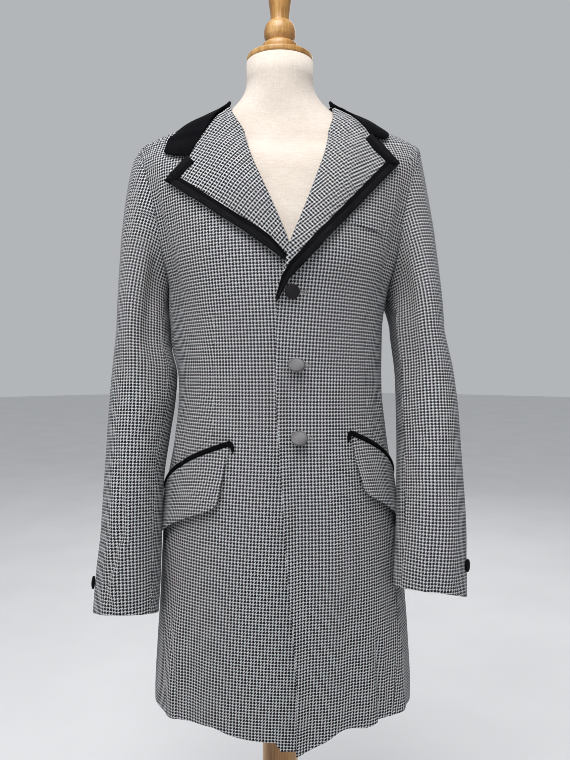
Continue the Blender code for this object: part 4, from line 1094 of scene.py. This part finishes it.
def ringed(name, rings, finish):
    """A closed body through rings of points, from the bottom to the top, with a fan over each end."""
    rows, sides = rings.shape[:2]
    count = rows * sides
    at = np.arange(count).reshape(rows, sides)
    at = np.concatenate([at, at[:, :1]], axis=1)
    turn, up = np.linspace(0, 1, sides + 1), run_length(rings, 0).mean(1)
    faces = corners(at).reshape(-1, 4).tolist()
    uvs = [corners(grid_uv(up, turn)[..., ::-1]).reshape(-1, 2)]
    for row, first, second, centre in ((0, 1, 0, count), (-1, 0, 1, count + 1)):
        pair = [at[row, first : first + sides], at[row, second : second + sides]]
        faces += np.stack(pair + [np.full(sides, centre)], 1).tolist()
        ends = np.stack([turn[first : first + sides], turn[second : second + sides], turn[:-1]], 1)
        uvs.append(np.stack([ends, np.full(ends.shape, up[row])], -1).reshape(-1, 2))
    points = np.concatenate([rings.reshape(-1, 3), rings[:1].mean(1), rings[-1:].mean(1)])
    return make_mesh(name, points, faces, np.concatenate(uvs), finish)


def turned(name, profile, finish, place):
    """A solid of revolution about +Z from (radius, height) points, bottom to top, put at a matrix."""
    radius, height = np.array(profile, float).T[:, :, None]
    angle = 2 * math.pi * np.arange(TURNED_SIDES) / TURNED_SIDES
    rings = np.stack([radius * np.cos(angle), radius * np.sin(angle), height + 0 * angle], -1)
    made = ringed(name, rings, finish)
    made.data.transform(place)
    return made


def smooth_profile(points, steps):
    """A turned outline drawn finer, as a smooth curve through its points."""
    points = np.array(points, float)
    length = run_length(points, 0)
    guide = Profile(("length", "radius", "height"), np.concatenate([length[:, None], points], 1))
    return guide.table(np.linspace(0, length[-1], steps))


def button_profile(radius, thick):
    """A cloth-covered button: a flat back, a rounded rim and a low dome."""
    shape = BUTTON_SHAPE
    rim = np.radians(np.linspace(*shape["rim_angles"], shape["rim_steps"]))
    rim_radius = radius * (shape["core"] + shape["roll"] * np.cos(rim))
    rim_height = thick * (shape["rim_middle"] + shape["rim_half"] * np.sin(rim))
    f = np.linspace(0, 1, shape["dome_steps"])[1:]
    dome_radius = rim_radius[-1] * (1 - shape["dome_reach"] * f)
    dome_height = rim_height[-1] + (thick - rim_height[-1]) * (1 - (1 - f) ** 2)
    outline_radius = np.concatenate([[radius * shape["back"]], rim_radius, dome_radius])
    return np.stack([outline_radius, np.concatenate([[0.0], rim_height, dome_height])], 1)


def stand_on(point, normal):
    """A matrix that puts a turned piece's foot at a point with its axis along a normal."""
    turn = Vector((0, 0, 1)).rotation_difference(Vector(normal)).to_matrix().to_4x4()
    return Matrix.Translation(Vector(point)) @ turn


def front_buttons():
    for node, row in BUTTONS.items():
        button = dict(zip(BUTTON_COLUMNS, row))
        z = np.array(button["z"])
        turn = turn_at(button["x"], z)
        normal = body_normal(turn, z) + np.array([0.0, 0.0, math.tan(math.radians(button["tilt"]))])
        point = body_point(turn, z, left_lift(turn, z) + button["clearance"])
        profile = button_profile(button["radius"], BUTTON_THICK)
        place = stand_on(point, unit(normal))
        keep(turned(node + "_cover", profile, FINISHES[button["finish"]], place), node)


def buttonhole(node):
    """The worked buttonhole that shows beside a button: a loop of thread on the cloth."""
    x, z, *_ = BUTTONS[node]
    hole = BUTTONHOLE
    half = (hole["end"] - hole["start"]) / 2
    angle = 2 * math.pi * np.arange(hole["steps"]) / hole["steps"]
    along = np.sign(np.cos(angle)) * np.abs(np.cos(angle)) ** hole["roundness"]
    loop_x = x + hole["start"] + half + half * along
    loop_z = z + hole["half_width"] * np.sin(angle)
    turn = turn_at(loop_x, loop_z)
    path = body_point(turn, loop_z, left_lift(turn, loop_z) + hole["thread"] / 2)
    normal = body_normal(turn, loop_z)
    ahead = unit(np.roll(path, -1, axis=0) - np.roll(path, 1, axis=0))
    aside = np.cross(ahead, normal)
    ring = 2 * math.pi * np.arange(hole["sides"] + 1) / hole["sides"]
    section = normal[:, None] * np.cos(ring)[:, None] + aside[:, None] * np.sin(ring)[:, None]
    points = (path[:, None] + hole["thread"] * section)[:, :-1].reshape(-1, 3)
    at = np.arange(len(points)).reshape(hole["steps"], hole["sides"])
    at = np.concatenate([at, at[:1]])
    at = np.concatenate([at, at[:, :1]], axis=1)
    length = np.arange(hole["steps"] + 1) * 2 * (2 * half) / hole["steps"]
    uv = grid_uv(length, hole["thread"] * ring)
    name = node.replace("button", "buttonhole")
    made = make_mesh(name, points, corners(at).reshape(-1, 4), corners(uv), FINISHES["thread"])
    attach(made, "root")


# Sleeves


def sleeve_folds(angle, z):
    lift = np.zeros(np.broadcast(angle, z).shape)
    for fold in SLEEVE_FOLDS:
        off = (np.degrees(angle) - fold["angle"] + 180) % 360 - 180
        ends = smoothstep(fold["z_top"], fold["z_top"] - SLEEVE_FOLD_GROWS, z)
        ends = ends * smoothstep(fold["z_low"], fold["z_low"] + SLEEVE_FOLD_FADES, z)
        lift = lift + fold["height"] * np.exp(-((off / fold["width"]) ** 2)) * ends
    return lift


def sleeve_creases(side, angle, z):
    lift = np.zeros(np.broadcast(angle, z).shape)
    across = angle * SLEEVE_RADIUS
    for width, height, path in SLEEVE_CREASES[side]:
        path = [(math.radians(a) * SLEEVE_RADIUS, h) for a, h in path]
        lift = lift + crease_lift(across, z + 0 * across, path, width, height)
    return lift


def arm_ring(side, angle, z):
    """A point of the sleeve's tube below the armhole. The angle is 0 at the outside and 90 at the front."""
    inner, outer, centre_y, depth, tilt, lean = SLEEVES[side](z)
    fold = sleeve_folds(angle, z)
    half = (outer - inner) / 2 + fold
    tilt = np.radians(tilt)
    back = -np.sin(angle) * (depth + fold)
    x = SIGN[side] * ((inner + outer) / 2 + half * np.cos(angle))
    drop = back * np.sin(tilt) + half * np.cos(angle) * np.sin(np.radians(lean))
    return np.stack([x, centre_y + back * np.cos(tilt), z - drop], -1)


def sleeve_point(side, angle, down):
    """The sleeve's outside: down is 0 at the armhole, 1 where the cap ends and 2 at the cuff."""
    sign = SIGN[side]
    angle, down = np.broadcast_arrays(angle, down)
    cuff_z, top_z = SLEEVES[side].places[0], SLEEVES[side].places[-1]
    turn, z = armhole_turn(angle)
    hole = body_face(sign * turn, z) + body_normal(sign * turn, z) * body_folds(sign * turn, z)[..., None]
    high = (1 + np.cos(angle)) / 2
    leave_x = UNDERARM_OUT + (CAP_OUT[side] - UNDERARM_OUT) * high
    leave_z = LEAVES_DOWN["under"] + (LEAVES_DOWN["top"] - LEAVES_DOWN["under"]) * high
    leave = np.stack([sign * leave_x, 0 * high, leave_z], -1)
    start = hole + unit(leave) * SEAM_GAP
    ring = arm_ring(side, angle, np.full(angle.shape, top_z))
    length = np.linalg.norm(ring - hole, axis=-1, keepdims=True)
    fall = np.array(ARM_FALL) * length
    f = np.clip(down, 0, 1)[..., None]
    cap = hermite(f, start, leave * length, ring, fall)
    arm = arm_ring(side, angle, top_z + (cuff_z - top_z) * np.clip(down - 1, 0, 1))
    return np.where((down <= 1)[..., None], cap, arm)


def sleeve_normal(side, angle, down):
    sign, d = SIGN[side], NEARBY["sleeve"]
    low, high = np.clip(down - d, 0, 2), np.clip(down + d, 0, 2)
    round_arm = sleeve_point(side, angle + d, down) - sleeve_point(side, angle - d, down)
    down_arm = sleeve_point(side, angle, high) - sleeve_point(side, angle, low)
    tube = unit(np.cross(round_arm, down_arm)) * sign
    turn, z = armhole_turn(angle)
    body = body_normal(sign * turn, z)
    on_body = (1 - smoothstep(0.0, HEAD_REACH, down)) * smoothstep(*HEAD_ANGLES, np.cos(angle))
    return unit(body * on_body[..., None] + tube * (1 - on_body)[..., None])


def sleeve_puckers(angle, down):
    """Small gathers where the sleeve head is eased into the armhole."""
    pucker = SLEEVE_PUCKERS
    first, last = np.radians(pucker["angles"])
    share = np.clip((angle - first) / (last - first), 0, 1)
    fade = np.sin(np.pi * share) ** 2 * np.exp(-down / pucker["reach"])
    fade = fade * smoothstep(0.0, pucker["starts"], down)
    return pucker["height"] * np.sin(2 * np.pi * pucker["waves"] * share) * fade


def sleeve(side):
    cuff = 1 - np.array(RIM[-2::-1]) * CUFF_RIM
    arm = np.concatenate([np.linspace(0, cuff[0], SLEEVE_ARM_STEPS)[1:-1], cuff])
    down = np.concatenate([RIM[:-1], np.linspace(RIM[-1], 1, SLEEVE_CAP_STEPS), 1 + arm])[:, None]
    for name, (first, last) in (("top_sleeve", TOP_SLEEVE), ("under_sleeve", UNDER_SLEEVE)):
        shares = rim_shares(int((last - first) / SLEEVE_STEP))
        angle = np.radians(first + (last - first) * shares)
        angle[[0, -1]] += np.array([2, -2]) * SEAM_TURN
        a, d = np.broadcast_arrays(angle[None, :], down)
        outer, outward = sleeve_point(side, a, d), sleeve_normal(side, a, d)
        wrapped = (a + math.pi) % (2 * math.pi) - math.pi
        lift = sleeve_creases(side, wrapped, outer[..., 2]) * smoothstep(0.0, SLEEVE_CREASES_FROM, d)
        outer = outer + outward * (lift + sleeve_puckers(wrapped, d))[..., None]
        upright = np.stack([-SIGN[side] * a * SLEEVE_RADIUS, outer[..., 2]], -1)
        edges = (SEWN_EDGE, FREE_EDGE, SEWN_EDGE, SEWN_EDGE)
        cloth_piece(f"{name}_{side}", outer, outward, upright, edges)


def cuff_button(side):
    top_z, cuff_z = SLEEVES[side].places[-1], SLEEVES[side].places[0]
    down = np.array(2 - CUFF_BUTTON_RISE / (top_z - cuff_z))
    angle = np.array(math.radians(CUFF_BUTTON_ANGLE[side]))
    normal = sleeve_normal(side, angle, down)
    point = sleeve_point(side, angle, down) + normal * SEAM_GAP
    profile = button_profile(CUFF_BUTTON_R, CUFF_BUTTON_THICK)
    made = turned(f"cuff_button_{side}_cover", profile, FINISHES["velvet"], stand_on(point, normal))
    keep(made, f"cuff_button_{side}")


# Materials


class Nodes:
    """A material under construction: short calls that add nodes and join them."""

    def __init__(self, name):
        self.material = bpy.data.materials.new(name)
        self.material.use_nodes = True
        self.tree = self.material.node_tree
        self.shader = self.tree.nodes["Principled BSDF"]

    def add(self, kind, **settings):
        made = self.tree.nodes.new(kind)
        for key, value in settings.items():
            setattr(made, key, value)
        return made

    def join(self, value, socket):
        if isinstance(value, (int, float)):
            socket.default_value = value
        else:
            self.tree.links.new(value, socket)

    def math(self, operation, a, b=0.0):
        made = self.add("ShaderNodeMath", operation=operation)
        self.join(a, made.inputs[0])
        self.join(b, made.inputs[1])
        return made.outputs[0]

    def ramp(self, value, stops):
        made = self.add("ShaderNodeValToRGB")
        elements = made.color_ramp.elements
        while len(elements) < len(stops):
            elements.new(0.5)
        for element, (place, colour) in zip(elements, stops):
            element.position = place
            element.color = (*colour, 1.0)
        self.join(value, made.inputs["Fac"])
        return made.outputs["Color"]

    def axes(self, vector):
        made = self.add("ShaderNodeSeparateXYZ")
        self.tree.links.new(vector, made.inputs[0])
        return made.outputs

    def waves(self, value, pitch):
        return self.math("SINE", self.math("MULTIPLY", value, 2 * math.pi / pitch))

    def weigh(self, a, share_a, b, share_b):
        return self.math("ADD", self.math("MULTIPLY", a, share_a), self.math("MULTIPLY", b, share_b))

    def mix(self, share, a, b):
        made = self.add("ShaderNodeMix", data_type="RGBA")
        self.join(share, made.inputs["Factor"])
        for socket, value in ((made.inputs["A"], a), (made.inputs["B"], b)):
            if isinstance(value, tuple):
                socket.default_value = (*value, 1.0)
            else:
                self.tree.links.new(value, socket)
        return made.outputs["Result"]

    def noise(self, vector, scale, detail=2.0, stretch=None):
        if stretch:
            mapping = self.add("ShaderNodeMapping")
            mapping.inputs["Scale"].default_value = stretch
            self.tree.links.new(vector, mapping.inputs["Vector"])
            vector = mapping.outputs["Vector"]
        made = self.add("ShaderNodeTexNoise")
        made.inputs["Scale"].default_value = scale
        made.inputs["Detail"].default_value = detail
        self.tree.links.new(vector, made.inputs["Vector"])
        return made.outputs["Fac"]

    def grain(self):
        return self.add("ShaderNodeUVMap", uv_map="grain").outputs["UV"]

    def place(self):
        return self.add("ShaderNodeTexCoord").outputs["Object"]

    def bump(self, height, distance, strength=1.0):
        made = self.add("ShaderNodeBump")
        made.inputs["Distance"].default_value = distance
        made.inputs["Strength"].default_value = strength
        self.join(height, made.inputs["Height"])
        self.tree.links.new(made.outputs["Normal"], self.shader.inputs["Normal"])

    def set(self, **values):
        for key, value in values.items():
            socket = self.shader.inputs[key.replace("_", " ")]
            if isinstance(value, tuple):
                socket.default_value = (*value, 1.0)
            else:
                self.join(value, socket)


WHITE_WOOL, BLACK_WOOL = (0.58, 0.59, 0.61), (0.0045, 0.0045, 0.0056)
WHITE_FUZZ, BLACK_FUZZ = 0.86, 2.2  # how much fuzz darkens the white and lightens the black
TWILL_REPEAT, TWILL_OVER = 4, 2
BRAID_CORD, BUTTON_TWILL, STITCH = 0.0016, 0.0007, 0.0009


def houndstooth():
    """Dark and light threads each way, in a two-and-two twill, drawn thread by thread."""
    m = Nodes("houndstooth")
    grain = m.axes(m.grain())
    indexes, darks, rounds = [], [], []
    for axis in ("X", "Y"):
        thread = m.math("DIVIDE", grain[axis], REPEAT / THREADS)
        index = m.math("FLOOR", thread)
        indexes.append(index)
        darks.append(m.math("LESS_THAN", m.math("FLOORED_MODULO", thread, THREADS), THREADS * DARK_SHARE))
        rounds.append(m.math("SINE", m.math("MULTIPLY", m.math("SUBTRACT", thread, index), math.pi)))
    twill = m.math("FLOORED_MODULO", m.math("ADD", *indexes), TWILL_REPEAT)
    warp_over = m.math("LESS_THAN", twill, TWILL_OVER)
    weft_over = m.math("SUBTRACT", 1.0, warp_over)
    fuzz = m.noise(m.grain(), scale=900.0, detail=3.0)
    white = m.mix(fuzz, WHITE_WOOL, tuple(WHITE_FUZZ * c for c in WHITE_WOOL))
    black = m.mix(fuzz, BLACK_WOOL, tuple(BLACK_FUZZ * c for c in BLACK_WOOL))
    colour = m.mix(m.weigh(darks[0], warp_over, darks[1], weft_over), white, black)
    m.set(Base_Color=colour, Roughness=0.90, Specular_IOR_Level=0.12)
    m.set(Sheen_Weight=0.03, Sheen_Roughness=0.5)
    m.bump(m.weigh(rounds[0], warp_over, rounds[1], weft_over), distance=0.00012, strength=0.5)
    return m.material


def velvet():
    m = Nodes("velvet")
    nap = m.noise(m.place(), scale=260.0, detail=4.0)
    brushed = m.noise(m.place(), scale=38.0, stretch=(1.0, 1.0, 0.4))
    both = m.math("MULTIPLY", nap, brushed)
    colour = m.ramp(both, [(0.05, (0.0016, 0.0016, 0.0024)), (0.45, (0.0048, 0.0048, 0.0064))])
    m.set(Base_Color=colour, Roughness=0.95, Specular_IOR_Level=0.05)
    m.set(Sheen_Weight=0.03, Sheen_Roughness=0.35)
    m.bump(nap, distance=0.0005, strength=0.6)
    return m.material


def braid_finish():
    """A charcoal outer band with fine streaks along it, and a black inner band."""
    m = Nodes("braid")
    across = m.axes(m.grain())["Y"]
    cords = m.waves(across, BRAID_CORD)
    streaks = m.noise(m.grain(), scale=900.0, detail=3.0, stretch=(0.06, 1.0, 1.0))
    tone = m.math("ADD", m.math("MULTIPLY", cords, 0.10), streaks)
    charcoal = m.ramp(tone, [(0.30, (0.0024, 0.0024, 0.0031)), (0.78, (0.0115, 0.0115, 0.0135))])
    black = m.ramp(tone, [(0.30, (0.0012, 0.0012, 0.0016)), (0.78, (0.0036, 0.0036, 0.0044))])
    inner = m.math("GREATER_THAN", m.math("DIVIDE", across, BRAID_WIDTH), BRAID_BAND)
    colour = m.mix(inner, charcoal, black)
    m.set(Base_Color=colour, Roughness=0.8, Specular_IOR_Level=0.06)
    m.set(Sheen_Weight=0.005, Sheen_Roughness=0.4)
    m.bump(tone, distance=0.0004, strength=0.7)
    return m.material


def button_cloth(name, dark, light, index):
    """Satin drawn tight over a button: a fine twill that catches the sky."""
    m = Nodes(name)
    place = m.axes(m.place())
    twill = m.waves(m.math("ADD", place["X"], place["Z"]), BUTTON_TWILL)
    tone = m.math("ADD", m.math("MULTIPLY", twill, 0.2), m.noise(m.place(), scale=600.0))
    m.set(Base_Color=m.ramp(tone, [(0.2, dark), (0.9, light)]), Roughness=0.38, IOR=index)
    m.bump(twill, distance=0.00008, strength=0.6)
    return m.material


def thread_finish():
    m = Nodes("thread")
    stitches = m.waves(m.axes(m.grain())["X"], STITCH)
    colour = m.ramp(stitches, [(0.0, (0.16, 0.15, 0.15)), (1.0, (0.42, 0.40, 0.39))])
    m.set(Base_Color=colour, Roughness=0.7)
    m.bump(stitches, distance=0.0002, strength=0.8)
    return m.material


def form_cloth():
    """Cream linen over the form: plain weave with slubs and a little soiling."""
    m = Nodes("form_cloth")
    across = m.noise(m.place(), scale=900.0, stretch=(1.0, 1.0, 0.10))
    along = m.noise(m.place(), scale=900.0, stretch=(0.10, 0.10, 1.0))
    weave = m.math("ADD", across, along)
    tone = m.weigh(weave, 0.35, m.noise(m.place(), scale=16.0, detail=4.0), 0.5)
    colour = m.ramp(tone, [(0.35, (0.51, 0.43, 0.365)), (0.85, (0.75, 0.675, 0.60))])
    m.set(Base_Color=colour, Roughness=0.92, Sheen_Weight=0.10, Sheen_Roughness=0.5)
    m.bump(weave, distance=0.0003, strength=0.5)
    return m.material


OAK_BANDS, OAK_PORES = dict(scale=28.0, detail=4.0), dict(scale=420.0, detail=3.0)
OAK_DRAWN = dict(bands=0.09, pores=0.05)  # the grain's scale along its axis, as a share of that across
OAK_STOPS = [(0.36, (0.20, 0.080, 0.016)), (0.50, (0.44, 0.225, 0.060)), (0.64, (0.68, 0.43, 0.18))]


def oak(name, axis):
    """Oak with long grain along one axis, fine pores and a rubbed oil finish."""
    m = Nodes(name)
    drawn = {k: tuple(share if a == axis else 1.0 for a in "XYZ") for k, share in OAK_DRAWN.items()}
    bands = m.noise(m.place(), stretch=drawn["bands"], **OAK_BANDS)
    pores = m.noise(m.place(), stretch=drawn["pores"], **OAK_PORES)
    colour = m.ramp(m.weigh(bands, 0.75, pores, 0.25), OAK_STOPS)
    roughness = m.math("ADD", m.math("MULTIPLY", pores, 0.22), 0.24)
    m.set(Base_Color=colour, Roughness=roughness, Coat_Weight=0.08, Coat_Roughness=0.20)
    m.bump(pores, distance=0.0002, strength=0.4)
    return m.material


def pale_floor():
    m = Nodes("floor")
    tone = m.noise(m.place(), scale=3.0, detail=4.0)
    m.set(Base_Color=m.ramp(tone, [(0.3, (0.74, 0.74, 0.75)), (0.7, (0.78, 0.78, 0.79))]), Roughness=0.9)
    return m.material


FINISHES = dict(
    houndstooth=houndstooth(),
    velvet=velvet(),
    braid=braid_finish(),
    button_cloth=button_cloth("button_cloth", (0.040, 0.036, 0.039), (0.104, 0.095, 0.101), 1.75),
    # The top button's finish: the same satin in much darker colours, painted shade
    button_painted_shade=button_cloth("button_painted_shade", (0.006, 0.005, 0.006), (0.016, 0.014, 0.016), 1.30),
    thread=thread_finish(),
    form_cloth=form_cloth(),
    wood=oak("wood", "Z"),
    board=oak("board", "X"),
)


# Form and stand


def form_gap(turn, z):
    """How far the form stays inside the cloth: close under the shoulders, clear everywhere else."""
    gap = FORM_SHOULDER_GAP + (FORM_GAP - FORM_SHOULDER_GAP) * smoothstep(*FORM_LETS_GO, z)
    end = SHOULDER_END
    round_off = end["round_off"] * smoothstep(*end["half_widths"], BODY.one("half_width", z))
    round_off = round_off * smoothstep(*end["grows"], z) * smoothstep(*end["fades"], z)
    return gap + round_off * np.abs(np.sin(turn)) ** end["sharpness"]


def form_torso():
    """A smooth limbless torso inside the jacket, whose shoulders sweep up into a round neck."""
    turn = (2 * math.pi * np.arange(FORM_SIDES) / FORM_SIDES - math.pi)[None, :]
    z = np.linspace(FORM_BOTTOM_Z, FORM_SWEEP_Z, FORM_ROWS)[:, None]
    torso = body_face(turn, z) - body_normal(turn, z) * (CLOTH + form_gap(turn, z))[..., None]
    torso[0, :, 2] = FORM_BOTTOM_Z
    s, c = np.sin(turn[0]), np.cos(turn[0])
    neck = np.stack([NECK_R * s, NECK_Y - NECK_R * c, NECK_FOOT_Z + 0 * s], -1)
    leave = unit(torso[-1] - torso[-2]) * FORM_SWEEP["leaves"]
    rise = np.array([0.0, 0.0, FORM_SWEEP["rises"]])
    f = np.linspace(0, 1, FORM_SWEEP_ROWS)[1:, None, None]
    sweep = hermite(f, torso[-1], leave, neck, rise)
    top = neck + np.array([0.0, 0.0, FORM_NECK_Z - NECK_FOOT_Z])
    made = ringed("form_torso_cover", np.concatenate([torso, sweep, top[None]]), FINISHES["form_cloth"])
    keep(made, "form_torso")


def form_and_stand():
    """The torso and the turned tops are drawn finer; the post and base keep their CAD shapes."""
    form_torso()
    for node, finish in (("post", "wood"), ("base", "board")):
        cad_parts[node].data.materials.clear()
        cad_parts[node].data.materials.append(FINISHES[finish])
    plate_z = FORM_NECK_Z + SEAM_GAP
    finial_z = plate_z + NECK_PLATE[-1][1] + SEAM_GAP
    tops = (
        ("neck_plate", NECK_PLATE, PLATE_STEPS, plate_z),
        ("finial", FINIAL, FINIAL_STEPS, finial_z),
    )
    for node, outline, steps, z in tops:
        place = Matrix.Translation((0, NECK_Y, z))
        made = turned(node + "_turned", smooth_profile(outline, steps), FINISHES["wood"], place)
        keep(made, node)


# Cloth as sheets


def declare_sheets():
    """How each cut piece hangs and what it lies on, gathered in a table that nothing reads."""
    hung = [f"{part}_{side}" for part in ("front", "side", "back") for side in SIGN]
    held = {node: ("hung", [PIECES["form_torso"]]) for node in hung}
    for side in SIGN:
        held[f"top_sleeve_{side}"] = ("hung", [PIECES[f"front_{side}"]])
        held[f"under_sleeve_{side}"] = ("hung", [PIECES[f"side_{side}"]])
        held[f"lapel_{side}"] = ("folded", [PIECES[f"front_{side}"]])
        held[f"flap_{side}"] = ("hung", [PIECES[f"front_{side}"]])
    held["breast_welt"] = ("laid", [PIECES["front_left"]])
    held["collar"] = ("folded", [PIECES["back_left"], PIECES["back_right"]])
    held["collar_stand"] = ("folded", [PIECES["form_torso"]])


# Stage


def camera():
    data = bpy.data.cameras.new("camera")
    data.sensor_width = SENSOR
    data.lens = SENSOR * FOCAL_PX / FRAME_HEIGHT_PX
    made = bpy.data.objects.new("camera", data)
    made.location = CAMERA_AT
    made.rotation_euler = (math.pi / 2 + CAMERA_PITCH, 0.0, 0.0)
    bpy.context.scene.collection.objects.link(made)
    bpy.context.scene.camera = made


LIGHTS = {
    "key": dict(at=(-0.40, -1.45, 3.4), aim=(0.0, 0.0, 1.15), size=1.8, power=95.0),
    "back": dict(at=(0.6, 2.6, 2.8), aim=(0.0, 0.0, 1.10), size=2.4, power=28.0),
}
SKY, SKY_STRENGTH = (0.94, 0.97, 1.0), 0.48
FLOOR = dict(vertices=128, radius=14.0)


def stage():
    for name, row in LIGHTS.items():
        data = bpy.data.lights.new(name, "AREA")
        data.size = row["size"]
        data.energy = row["power"]
        made = bpy.data.objects.new(name, data)
        made.location = row["at"]
        made.rotation_euler = (Vector(row["aim"]) - Vector(row["at"])).to_track_quat("-Z", "Y").to_euler()
        bpy.context.scene.collection.objects.link(made)
    world = bpy.data.worlds.new("sky")
    world.use_nodes = True
    background = world.node_tree.nodes["Background"]
    background.inputs["Color"].default_value = (*SKY, 1.0)
    background.inputs["Strength"].default_value = SKY_STRENGTH
    bpy.context.scene.world = world
    bpy.ops.mesh.primitive_circle_add(fill_type="NGON", location=(0, 0, 0), **FLOOR)
    floor = bpy.context.object
    floor.name = "floor"
    floor.data.materials.append(pale_floor())
    bpy.context.scene.view_settings.view_transform = "Standard"
    bpy.context.scene.cycles.filter_width = PIXEL_FILTER


camera()
stage()
front("left")
front("right")
sides()
backs()
for side in SIGN:
    lapel(side)
    braid(side)
    flap(side)
    piping(side)
    sleeve(side)
    cuff_button(side)
collar()
breast_welt()
front_buttons()
for node in BUTTONS:
    buttonhole(node)
form_and_stand()
declare_sheets()
